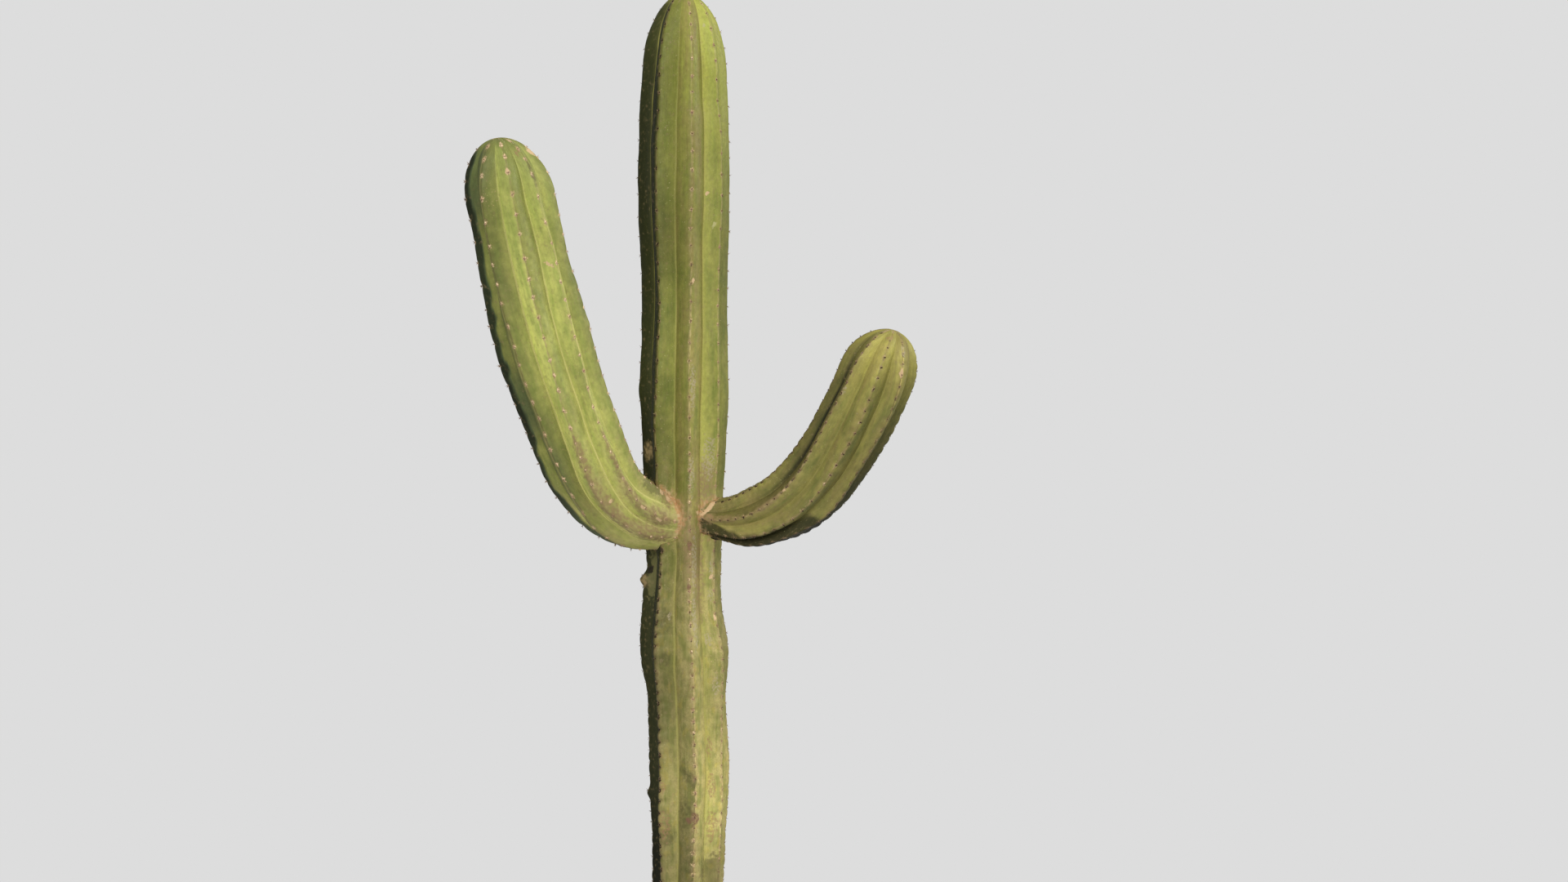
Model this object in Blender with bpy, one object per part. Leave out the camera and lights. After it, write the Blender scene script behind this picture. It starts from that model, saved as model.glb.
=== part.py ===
"""A columnar cactus: one tall ribbed trunk and two ribbed arms that bend upwards from it.

Metres, +Z up. The origin is the middle of the flat cut at ground level, and the front
of the plant faces -Y. Every stem is a ribbed skin lofted along its own axis: stations
give its girth, and a rib profile gives the shape of its cross-section.
"""

import math

import bmesh
import bpy
from mathutils import Vector

COLLECTION_NAME = "columnar_cactus"
CUTTER_COLLECTION_NAME = "cactus_cutters"

# Room left between two pieces that touch
TOUCHING_GAP = 0.0003
TRUNK_CUTTER_SWELL = 0.0004

# One rib as (share of the rib's width from its crest, share of the drop from crest to valley)
RIB_PROFILE = ((0.0, 0.0), (0.13, 0.14), (0.5, 1.0), (0.87, 0.14))
VALLEY_DEPTH = 0.24
TIP_VALLEY_DEPTH = 0.16

ROW_SPACING = 0.034
DOME_ROWS = 8

# Trunk
TRUNK_HEIGHT = 2.127
TRUNK_DOME_LENGTH = 0.162
TRUNK_RIBS = 8
TRUNK_FIRST_RIB_DEG = 10.0
# (height, radius over the rib crests): a flared foot, then one swelling for each year's growth
TRUNK_GIRTH = (
    (0.000, 0.0900),
    (0.045, 0.0790),
    (0.120, 0.0710),
    (0.300, 0.0735),
    (0.520, 0.0655),
    (0.615, 0.0705),
    (0.705, 0.0735),
    (0.830, 0.0725),
    (0.915, 0.0820),
    (1.005, 0.0735),
    (1.095, 0.0695),
    (1.215, 0.0730),
    (1.395, 0.0815),
    (1.575, 0.0795),
    (1.755, 0.0850),
    (1.965, 0.0790),
)
# (height, how far the trunk's middle stands to the side of its foot)
TRUNK_LEAN = (
    (0.000, 0.0000),
    (0.500, 0.0000),
    (0.705, 0.0010),
    (0.915, -0.0070),
    (1.005, -0.0110),
    (1.095, -0.0080),
    (1.500, -0.0060),
    (1.755, -0.0085),
    (2.127, -0.0055),
)
# The valleys between the ribs fill up with cork towards the ground
FOOT_CORK_HEIGHT = 0.22
FOOT_VALLEY_SHARE = 0.35

# Both arms leave the trunk's axis at this distance from it, inside the trunk
ARM_START_REACH = 0.010

LEFT_ARM = {
    "name": "left_arm",
    "ribs": 9,
    "first_rib_deg": 19.0,
    "heading_deg": -147.0,
    "swing_deg": 9.0,
    "start_height": 1.159,
    "start_pitch_deg": 3.0,
    "bend_length": 0.263,
    "bent_pitch_deg": 65.0,
    "tip_pitch_deg": 79.5,
    "length": 0.823,
    "dome_length": 0.108,
    "split_at": 0.200,
    "girth": (
        (0.000, 0.0440),
        (0.050, 0.0560),
        (0.090, 0.0665),
        (0.166, 0.0745),
        (0.245, 0.0800),
        (0.340, 0.0810),
        (0.490, 0.0855),
        (0.610, 0.0795),
        (0.715, 0.0785),
    ),
    "color": (0.36, 0.38, 0.10, 1.0),
}

RIGHT_ARM = {
    "name": "right_arm",
    "ribs": 8,
    "first_rib_deg": 33.0,
    "heading_deg": -24.0,
    "swing_deg": -9.0,
    "start_height": 1.170,
    "start_pitch_deg": -8.5,
    "bend_length": 0.380,
    "bent_pitch_deg": 58.0,
    "tip_pitch_deg": 69.0,
    "length": 0.584,
    "dome_length": 0.090,
    "split_at": 0.220,
    "girth": (
        (0.000, 0.0340),
        (0.060, 0.0380),
        (0.085, 0.0440),
        (0.130, 0.0580),
        (0.210, 0.0675),
        (0.335, 0.0690),
        (0.494, 0.0690),
    ),
    "color": (0.22, 0.21, 0.06, 1.0),
}

TRUNK_COLOR = (0.24, 0.25, 0.08, 1.0)
SKIN_ROUGHNESS = 0.6
PATH_STEP = 0.001
SMOOTH_ANGLE_DEG = 30.0


def smooth_value(stations, place):
    """Read a smooth curve through (place, value) stations."""
    if place <= stations[0][0]:
        return stations[0][1]
    if place >= stations[-1][0]:
        return stations[-1][1]
    after = next(i for i, station in enumerate(stations) if station[0] > place)
    here = after - 1
    (x0, y0), (x1, y1) = stations[here], stations[after]

    def slope(index):
        low = stations[max(index - 1, 0)]
        high = stations[min(index + 1, len(stations) - 1)]
        return (high[1] - low[1]) / (high[0] - low[0])

    span = x1 - x0
    t = (place - x0) / span
    return (
        (2 * t**3 - 3 * t**2 + 1) * y0
        + (t**3 - 2 * t**2 + t) * span * slope(here)
        + (3 * t**2 - 2 * t**3) * y1
        + (t**3 - t**2) * span * slope(after)
    )


def ease(share):
    """A smooth step from 0 to 1."""
    share = min(max(share, 0.0), 1.0)
    return share * share * (3.0 - 2.0 * share)


def dome_share(length, dome_length, place):
    """How much of the girth is left at this place along a stem that ends in a dome."""
    into_dome = (place - (length - dome_length)) / dome_length
    if into_dome <= 0.0:
        return 1.0
    return math.sqrt(max(1.0 - into_dome**2, 0.0))


def valley_depth(length, dome_length, place):
    """The ribs are a little shallower where they run together at the tip."""
    into_dome = (place - (length - dome_length)) / dome_length
    return VALLEY_DEPTH + (TIP_VALLEY_DEPTH - VALLEY_DEPTH) * ease(into_dome)


def row_places(start, end, dome_start, dome_end):
    """Even rows from start to end, then rows that crowd towards the tip of the dome."""
    rows = max(round((end - start) / ROW_SPACING), 1)
    places = [start + (end - start) * row / rows for row in range(rows + 1)]
    if dome_end is None:
        return places
    for row in range(1, DOME_ROWS):
        turn = math.radians(90.0) * row / DOME_ROWS
        places.append(dome_start + (dome_end - dome_start) * math.sin(turn))
    return places


def ribbed_ring(centre, out, side, radius, depth, ribs, first_rib):
    """Points round one cross-section; out and side span its plane."""
    ring = []
    rib_width = math.tau / ribs
    for rib in range(ribs):
        for across, drop in RIB_PROFILE:
            angle = first_rib + (rib + across) * rib_width
            reach = radius * (1.0 - depth * drop)
            ring.append(centre + reach * (math.cos(angle) * out + math.sin(angle) * side))
    return ring


def skin_rings(name, rings, tip=None):
    """Join rings of points into one closed mesh, with a flat foot and a tip or a flat end."""
    mesh = bpy.data.meshes.new(name)
    skin = bmesh.new()
    rows = [[skin.verts.new(point) for point in ring] for ring in rings]
    count = len(rows[0])
    for low, high in zip(rows, rows[1:]):
        for i in range(count):
            j = (i + 1) % count
            skin.faces.new((low[i], low[j], high[j], high[i]))
    skin.faces.new(list(reversed(rows[0])))
    if tip is None:
        skin.faces.new(rows[-1])
    else:
        apex = skin.verts.new(tip)
        for i in range(count):
            skin.faces.new((rows[-1][i], rows[-1][(i + 1) % count], apex))
    bmesh.ops.recalc_face_normals(skin, faces=skin.faces)
    skin.to_mesh(mesh)
    skin.free()
    mesh.shade_smooth()
    mesh.set_sharp_from_angle(angle=math.radians(SMOOTH_ANGLE_DEG))
    return mesh


def skin_material(name, color):
    material = bpy.data.materials.new(name)
    material.use_nodes = True
    shader = material.node_tree.nodes["Principled BSDF"]
    shader.inputs["Base Color"].default_value = color
    shader.inputs["Roughness"].default_value = SKIN_ROUGHNESS
    shader.inputs["Metallic"].default_value = 0.0
    return material


def add_object(collection, name, mesh, parent=None):
    piece = bpy.data.objects.new(name, mesh)
    collection.objects.link(piece)
    piece.parent = parent
    return piece


def trunk_rings(swell, low, high):
    """Rings of the trunk between two heights, made bigger by swell for a cutter."""
    dome_start = TRUNK_HEIGHT - TRUNK_DOME_LENGTH
    rings = []
    for height in row_places(0.0, dome_start, dome_start, TRUNK_HEIGHT):
        if not low <= height <= high:
            continue
        cork = ease(1.0 - height / FOOT_CORK_HEIGHT)
        depth = valley_depth(TRUNK_HEIGHT, TRUNK_DOME_LENGTH, height)
        depth *= 1.0 + (FOOT_VALLEY_SHARE - 1.0) * cork
        radius = smooth_value(TRUNK_GIRTH, height)
        radius *= dome_share(TRUNK_HEIGHT, TRUNK_DOME_LENGTH, height)
        centre = Vector((smooth_value(TRUNK_LEAN, height), 0.0, height))
        rings.append(
            ribbed_ring(
                centre,
                Vector((1.0, 0.0, 0.0)),
                Vector((0.0, 1.0, 0.0)),
                radius + swell,
                depth,
                TRUNK_RIBS,
                math.radians(TRUNK_FIRST_RIB_DEG),
            )
        )
    return rings


def make_trunk(collection):
    tip = Vector((smooth_value(TRUNK_LEAN, TRUNK_HEIGHT), 0.0, TRUNK_HEIGHT))
    mesh = skin_rings("trunk", trunk_rings(0.0, 0.0, TRUNK_HEIGHT), tip)
    mesh.materials.append(skin_material("trunk_skin", TRUNK_COLOR))
    return add_object(collection, "trunk", mesh)


def make_trunk_cutter(collection):
    """The stretch of trunk that the arms grow from, a hair bigger, to shape the arms' feet."""
    reach = 0.25
    heights = (LEFT_ARM["start_height"], RIGHT_ARM["start_height"])
    rings = trunk_rings(TRUNK_CUTTER_SWELL, min(heights) - reach, max(heights) + reach)
    cutter = add_object(collection, "trunk_cutter", skin_rings("trunk_cutter", rings))
    cutter.hide_render = True
    cutter.display_type = "WIRE"
    return cutter


def arm_heading(arm, place):
    """The arm's direction seen from above, relative to its start."""
    return math.radians(arm["swing_deg"]) * place / arm["length"]


def arm_pitch(arm, place):
    """The arm's climb: nearly level at the trunk, steep after the bend, then steeper still."""
    bent = arm["bent_pitch_deg"]
    pitch = arm["start_pitch_deg"]
    pitch += (bent - pitch) * ease(place / arm["bend_length"])
    if place > arm["bend_length"]:
        onward = (place - arm["bend_length"]) / (arm["length"] - arm["bend_length"])
        pitch += (arm["tip_pitch_deg"] - bent) * onward
    return math.radians(pitch)


def arm_frame(arm, place):
    """The arm's forward, outward and sideways directions; outward is its underside."""
    heading = arm_heading(arm, place)
    pitch = arm_pitch(arm, place)
    level = Vector((math.cos(heading), math.sin(heading), 0.0))
    side = Vector((-math.sin(heading), math.cos(heading), 0.0))
    up = Vector((0.0, 0.0, 1.0))
    forward = math.cos(pitch) * level + math.sin(pitch) * up
    out = math.sin(pitch) * level - math.cos(pitch) * up
    return forward, out, side


def arm_axis(arm):
    """Walk along the arm in small steps and keep its middle line."""
    steps = round(arm["length"] / PATH_STEP)
    points = [Vector((ARM_START_REACH, 0.0, 0.0))]
    for step in range(steps):
        forward = arm_frame(arm, (step + 0.5) * PATH_STEP)[0]
        points.append(points[-1] + forward * PATH_STEP)
    return points


def axis_point(points, place):
    index = min(int(place / PATH_STEP), len(points) - 2)
    return points[index].lerp(points[index + 1], place / PATH_STEP - index)


def arm_rings(arm, points, places):
    rings = []
    for place in places:
        out, side = arm_frame(arm, place)[1:]
        radius = smooth_value(arm["girth"], place)
        radius *= dome_share(arm["length"], arm["dome_length"], place)
        depth = valley_depth(arm["length"], arm["dome_length"], place)
        rings.append(
            ribbed_ring(
                axis_point(points, place),
                out,
                side,
                radius,
                depth,
                arm["ribs"],
                math.radians(arm["first_rib_deg"]),
            )
        )
    return rings


def make_arm(collection, arm, trunk_cutter):
    """An elbow cut to the trunk's ribs, and the upright that carries on from it."""
    joint = bpy.data.objects.new(arm["name"] + "_joint", None)
    collection.objects.link(joint)
    joint.location = (smooth_value(TRUNK_LEAN, arm["start_height"]), 0.0, arm["start_height"])
    joint.rotation_euler = (0.0, 0.0, math.radians(arm["heading_deg"]))

    points = arm_axis(arm)
    material = skin_material(arm["name"] + "_skin", arm["color"])

    elbow_places = row_places(0.0, arm["split_at"], None, None)
    elbow_mesh = skin_rings(arm["name"] + "_elbow", arm_rings(arm, points, elbow_places))
    elbow_mesh.materials.append(material)
    elbow = add_object(collection, arm["name"] + "_elbow", elbow_mesh, joint)
    cut = elbow.modifiers.new("seat_on_trunk", "BOOLEAN")
    cut.operation = "DIFFERENCE"
    cut.solver = "EXACT"
    cut.object = trunk_cutter

    dome_start = arm["length"] - arm["dome_length"]
    upright_places = row_places(
        arm["split_at"] + TOUCHING_GAP, dome_start, dome_start, arm["length"]
    )
    tip = axis_point(points, arm["length"])
    upright_mesh = skin_rings(
        arm["name"] + "_upright", arm_rings(arm, points, upright_places), tip
    )
    upright_mesh.materials.append(material)
    add_object(collection, arm["name"] + "_upright", upright_mesh, joint)


def new_collection(name):
    collection = bpy.data.collections.new(name)
    bpy.context.scene.collection.children.link(collection)
    return collection


def main():
    for old in list(bpy.data.objects):
        bpy.data.objects.remove(old, do_unlink=True)
    cactus = new_collection(COLLECTION_NAME)
    cutters = new_collection(CUTTER_COLLECTION_NAME)
    make_trunk(cactus)
    trunk_cutter = make_trunk_cutter(cutters)
    make_arm(cactus, LEFT_ARM, trunk_cutter)
    make_arm(cactus, RIGHT_ARM, trunk_cutter)
    bpy.context.view_layer.update()


main()
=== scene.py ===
"""The looks of a columnar cactus: ribbed skins, woolly areoles with spines, light and camera.

Metres, +Z up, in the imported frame, and the front of the plant faces -Y. Each skin follows the
middle line, girth and ribs of its solid, with the finer relief of the real plant on top. A
place on a stem is (turn, along): ribs counted round it from its first rib, and metres along it.
"""

import math

import bpy
import numpy as np
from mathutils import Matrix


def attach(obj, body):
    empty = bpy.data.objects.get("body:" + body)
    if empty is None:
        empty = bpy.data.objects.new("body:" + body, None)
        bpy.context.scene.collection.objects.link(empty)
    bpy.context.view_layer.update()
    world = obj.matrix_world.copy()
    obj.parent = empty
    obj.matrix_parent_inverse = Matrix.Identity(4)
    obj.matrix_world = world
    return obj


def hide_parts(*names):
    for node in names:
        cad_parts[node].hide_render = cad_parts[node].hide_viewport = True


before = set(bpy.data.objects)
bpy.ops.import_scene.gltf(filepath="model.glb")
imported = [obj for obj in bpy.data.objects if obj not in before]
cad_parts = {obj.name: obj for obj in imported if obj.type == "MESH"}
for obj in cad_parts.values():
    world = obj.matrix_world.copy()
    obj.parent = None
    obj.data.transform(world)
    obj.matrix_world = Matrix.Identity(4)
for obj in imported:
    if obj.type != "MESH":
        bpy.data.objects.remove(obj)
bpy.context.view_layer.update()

BODY = "root"

# Ribs: share of the crest that is rounded, share that the valley's floor is rounded, and depth
CREST_ROUNDING = 0.18
VALLEY_ROUNDING = 0.03
VALLEY_DEPTH = 0.24
TIP_VALLEY_DEPTH = 0.16
PATH_STEP = 0.001

# The trunk's girth is (height, radius over the crests), its lean (height, sideways offset)
TRUNK_GIRTH = (
    (0.000, 0.0900),
    (0.045, 0.0790),
    (0.120, 0.0710),
    (0.300, 0.0735),
    (0.520, 0.0655),
    (0.615, 0.0705),
    (0.705, 0.0735),
    (0.830, 0.0725),
    (0.915, 0.0820),
    (1.005, 0.0735),
    (1.095, 0.0695),
    (1.215, 0.0730),
    (1.395, 0.0815),
    (1.575, 0.0795),
    (1.755, 0.0850),
    (1.965, 0.0790),
)
TRUNK_LEAN = (
    (0.000, 0.0000),
    (0.500, 0.0000),
    (0.705, 0.0010),
    (0.915, -0.0070),
    (1.005, -0.0110),
    (1.095, -0.0080),
    (1.500, -0.0060),
    (1.755, -0.0085),
    (2.127, -0.0055),
)
FOOT_CORK_HEIGHT = 0.22
FOOT_VALLEY_SHARE = 0.35

TRUNK = {
    "name": "trunk",
    "ribs": 8,
    "first_rib_deg": 10.0,
    "girth": TRUNK_GIRTH,
    "length": 2.127,
    "dome_length": 0.162,
    "areole_steps": (
        (0.000, 0.0190),
        (0.600, 0.0215),
        (1.120, 0.0225),
        (1.260, 0.0300),
        (1.420, 0.0335),
        (1.990, 0.0335),
        (2.070, 0.0240),
        (2.127, 0.0120),
    ),
    "row_steps": ((0.0, 0.0029), (1.15, 0.0029), (1.25, 0.0043), (2.127, 0.0043)),
    "columns_per_rib": 18,
    "seed": 11,
}

ARM_START_REACH = 0.010

LEFT_ARM = {
    "name": "left_arm",
    "ribs": 9,
    "first_rib_deg": 19.0,
    "heading_deg": -147.0,
    "swing_deg": 9.0,
    "start_height": 1.159,
    "start_pitch_deg": 3.0,
    "bend_length": 0.263,
    "bent_pitch_deg": 65.0,
    "tip_pitch_deg": 79.5,
    "length": 0.826,
    "dome_length": 0.111,
    "girth": (
        (0.000, 0.0440),
        (0.050, 0.0560),
        (0.090, 0.0665),
        (0.166, 0.0745),
        (0.245, 0.0800),
        (0.340, 0.0810),
        (0.490, 0.0855),
        (0.610, 0.0795),
        (0.715, 0.0785),
    ),
    "areole_steps": (
        (0.000, 0.0230),
        (0.150, 0.0260),
        (0.300, 0.0290),
        (0.550, 0.0350),
        (0.715, 0.0370),
        (0.823, 0.0150),
    ),
    "row_steps": ((0.0, 0.0034), (0.823, 0.0034)),
    "columns_per_rib": 24,
    "seed": 23,
}

RIGHT_ARM = {
    "name": "right_arm",
    "ribs": 8,
    "first_rib_deg": 33.0,
    "heading_deg": -24.0,
    "swing_deg": -9.0,
    "start_height": 1.170,
    "start_pitch_deg": -8.5,
    "bend_length": 0.380,
    "bent_pitch_deg": 58.0,
    "tip_pitch_deg": 69.0,
    "length": 0.584,
    "dome_length": 0.090,
    "girth": (
        (0.000, 0.0340),
        (0.060, 0.0380),
        (0.085, 0.0440),
        (0.130, 0.0580),
        (0.210, 0.0675),
        (0.335, 0.0690),
        (0.494, 0.0690),
    ),
    "areole_steps": ((0.000, 0.0185), (0.300, 0.0195), (0.500, 0.0200), (0.584, 0.0120)),
    "row_steps": ((0.0, 0.0034), (0.584, 0.0034)),
    "columns_per_rib": 24,
    "seed": 37,
}

# Small bows of the real stems off their plain middle lines: (place, to the right, up)
NUDGES = {
    "trunk": ((1.10, 0.0, 0.0), (1.22, -0.0015, 0.0), (1.40, -0.0015, 0.0), (1.50, 0.0, 0.0)),
    "left_arm": (
        (0.08, 0.0, 0.0),
        (0.20, -0.0025, 0.0),
        (0.35, -0.0045, 0.0),
        (0.48, -0.0045, 0.0),
        (0.60, -0.0005, 0.0),
        (0.70, 0.0, 0.0),
        (0.826, -0.0040, 0.0),
    ),
    "right_arm": (
        (0.08, 0.0, 0.0),
        (0.20, -0.0005, 0.0025),
        (0.32, -0.0010, 0.0015),
        (0.44, 0.0030, 0.0),
        (0.584, 0.0050, 0.0),
    ),
}
# Bends of single crests and valleys away from even spacing, by twice their place in turn:
# (place along the stem, degrees)
BENDS = {
    "trunk": {
        9: ((0.8, -8), (1.05, -4), (1.3, -8), (1.4, -9), (1.5, -5), (1.63, -1), (1.8, -5), (1.92, -5), (2.02, 4)),
        10: (
            (0.45, -9),
            (0.60, -15),
            (0.68, -9),
            (0.83, -10),
            (0.90, -4),
            (1.08, 1),
            (1.28, -5),
            (1.38, -3),
            (1.45, 1),
            (1.80, 1),
            (1.95, 3),
            (2.12, 2),
        ),
        11: ((0.5, -8), (0.62, -6), (0.88, -3), (0.93, 0), (1.4, -1), (1.6, 0), (1.8, 2), (2.04, 4)),
        12: ((0.55, 0), (0.75, 1), (0.88, 2.5), (1.2, 1), (1.4, -1.5), (1.55, 0), (1.87, 3), (2.07, 1)),
        13: ((0.5, 4), (0.65, 2), (0.85, 5), (0.92, 2), (1.1, 4), (1.35, -1), (1.5, 1), (1.85, 4), (2.05, -1)),
        14: ((0.55, 8), (0.71, 3), (0.83, 12), (1.0, 1), (1.3, 0), (1.5, -4), (1.65, 0), (1.84, 1), (2.0, -7)),
    },
    "left_arm": {
        0: ((0.1, -8), (0.15, -6), (0.19, 3), (0.4, 4), (0.5, 2), (0.57, -3), (0.62, -5), (0.7, -2), (0.8, 5)),
        1: ((0.05, -8), (0.12, -5), (0.2, -3), (0.26, 0), (0.36, 4), (0.5, 3.5), (0.6, -0.5), (0.7, -1), (0.8, 4)),
        2: ((0.05, -5), (0.15, -6), (0.24, -2), (0.36, 0), (0.5, 1.5), (0.7, 0), (0.78, 2)),
        3: ((0.05, -10), (0.12, -6), (0.18, 1), (0.3, 3), (0.5, 4), (0.65, 5), (0.72, 2)),
        4: ((0.04, -12), (0.1, -9), (0.18, -3), (0.3, -4), (0.45, -1), (0.6, 1), (0.66, -2), (0.72, -5)),
    },
    "right_arm": {
        8: ((0.05, 0), (0.12, 8), (0.45, 8), (0.56, 0)),
        9: ((0.08, 10), (0.18, 9), (0.3, 6), (0.36, 2), (0.42, -2)),
        10: ((0.15, 12), (0.2, 8.5), (0.25, 6), (0.3, 3.5), (0.36, 1), (0.45, 0)),
        11: ((0.15, 4), (0.28, 3), (0.36, -1), (0.45, -5)),
        12: ((0.2, 5), (0.3, 2), (0.4, 0), (0.47, -4)),
        13: ((0.2, -3), (0.28, -1), (0.33, 4), (0.38, 2), (0.44, -2), (0.54, -9)),
        14: ((0.1, -18), (0.2, -15), (0.26, -2), (0.32, -6), (0.45, -6), (0.5, -10), (0.55, -15)),
    },
}
ARM_SKIN_START = 0.018
ARM_BASE_FADE = (0.030, 0.140)
ARM_BASE_DEPTH_SHARE = 0.30
DOME_ROWS = 40
COLUMN_CROWDING = 0.55
GRID_STEPS = 2000

# Relief, as heights in metres and sizes of its features
CREST_WANDER_DEG = {"trunk": 0.8, "left_arm": 1.3, "right_arm": 1.3}
CREST_WANDER_SIZE = 0.070
CREST_WAVE = 0.0013
CREST_WAVE_SIZE = 0.060
SWELL = 0.0011
SWELL_SIZE = 0.045
DIMPLE = 0.00035
DIMPLE_SIZE = 0.013
NOTCH_REACH_ALONG = 0.0042
NOTCH_REACH_DOWN = 0.34
COLLAR_HEIGHT = 0.0022
COLLAR_REACH = 0.010
WRINKLE = 0.0007
WRINKLE_LENGTH = 0.0068
CORK_RELIEF = 0.0022

# (place along the stem, depth of the notch at each areole)
NOTCH_DEPTHS = {
    "trunk": ((0.0, 0.0010), (0.30, 0.0036), (1.00, 0.0036), (1.25, 0.0016), (2.127, 0.0010)),
    "left_arm": ((0.0, 0.0008), (0.25, 0.0013), (0.823, 0.0010)),
    "right_arm": ((0.0, 0.0012), (0.20, 0.0022), (0.584, 0.0012)),
}

# Share of that depth on each rib
NOTCH_SHARES = {
    "trunk": (0.30, 0.35, 0.35, 0.35, 0.30, 0.72, 0.45, 0.40),
    "left_arm": (0.8, 0.8, 0.8, 0.8, 0.8, 0.8, 0.8, 0.8, 0.8),
    "right_arm": (0.9, 0.9, 0.9, 0.9, 0.9, 0.9, 0.9, 0.9),
}

# Lumps and hollows: (turn, along, how far out or in, how far they reach across and along)
LUMPS = {
    "trunk": (
        (4.00, 1.395, 0.0035, 0.014, 0.022),
        (4.00, 1.053, 0.0085, 0.011, 0.010),
        (4.10, 1.073, -0.0050, 0.010, 0.011),
        (3.98, 0.662, 0.0055, 0.010, 0.009),
        (4.15, 0.678, -0.0025, 0.010, 0.010),
        (5.00, 1.108, -0.0040, 0.008, 0.008),
        (6.76, 1.187, 0.0020, 0.010, 0.012),
    ),
    "left_arm": (
        (3.00, 0.470, 0.0022, 0.018, 0.012),
    ),
    "right_arm": (),
}


def ease(share):
    """A smooth step from 0 to 1."""
    share = np.clip(share, 0.0, 1.0)
    return share * share * (3.0 - 2.0 * share)


def smooth_value(stations, place):
    """Read a smooth curve through (place, value) stations at many places at once."""
    x, y = np.array(stations).T
    last = len(x) - 1
    before = np.maximum(np.arange(last + 1) - 1, 0)
    after = np.minimum(np.arange(last + 1) + 1, last)
    slope = (y[after] - y[before]) / (x[after] - x[before])
    place = np.clip(place, x[0], x[-1])
    here = np.clip(np.searchsorted(x, place, side="right") - 1, 0, last - 1)
    span = x[here + 1] - x[here]
    t = (place - x[here]) / span
    return (
        (2 * t**3 - 3 * t**2 + 1) * y[here]
        + (t**3 - 2 * t**2 + t) * span * slope[here]
        + (3 * t**2 - 2 * t**3) * y[here + 1]
        + (t**3 - t**2) * span * slope[here + 1]
    )


NOISE_CELLS = 64
NOISE_TABLE = np.random.default_rng(5).random((NOISE_CELLS, NOISE_CELLS, NOISE_CELLS))


def noise(x, y, z, wrap=NOISE_CELLS):
    """Smooth noise from -1 to 1 with features one unit wide; x repeats after wrap units."""
    x, y, z = np.broadcast_arrays(x, y, z)
    cells = [np.floor(value).astype(int) for value in (x, y, z)]
    shares = [ease(value - cell) for value, cell in zip((x, y, z), cells)]
    total = 0.0
    for corner in range(8):
        steps = (corner & 1, corner >> 1 & 1, corner >> 2 & 1)
        weight = 1.0
        for share, step in zip(shares, steps):
            weight = weight * (share if step else 1.0 - share)
        index = [(cell + step) % NOISE_CELLS for cell, step in zip(cells, steps)]
        index[0] = (cells[0] + steps[0]) % wrap
        total = total + weight * NOISE_TABLE[tuple(index)]
    return 2.0 * total - 1.0


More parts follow.
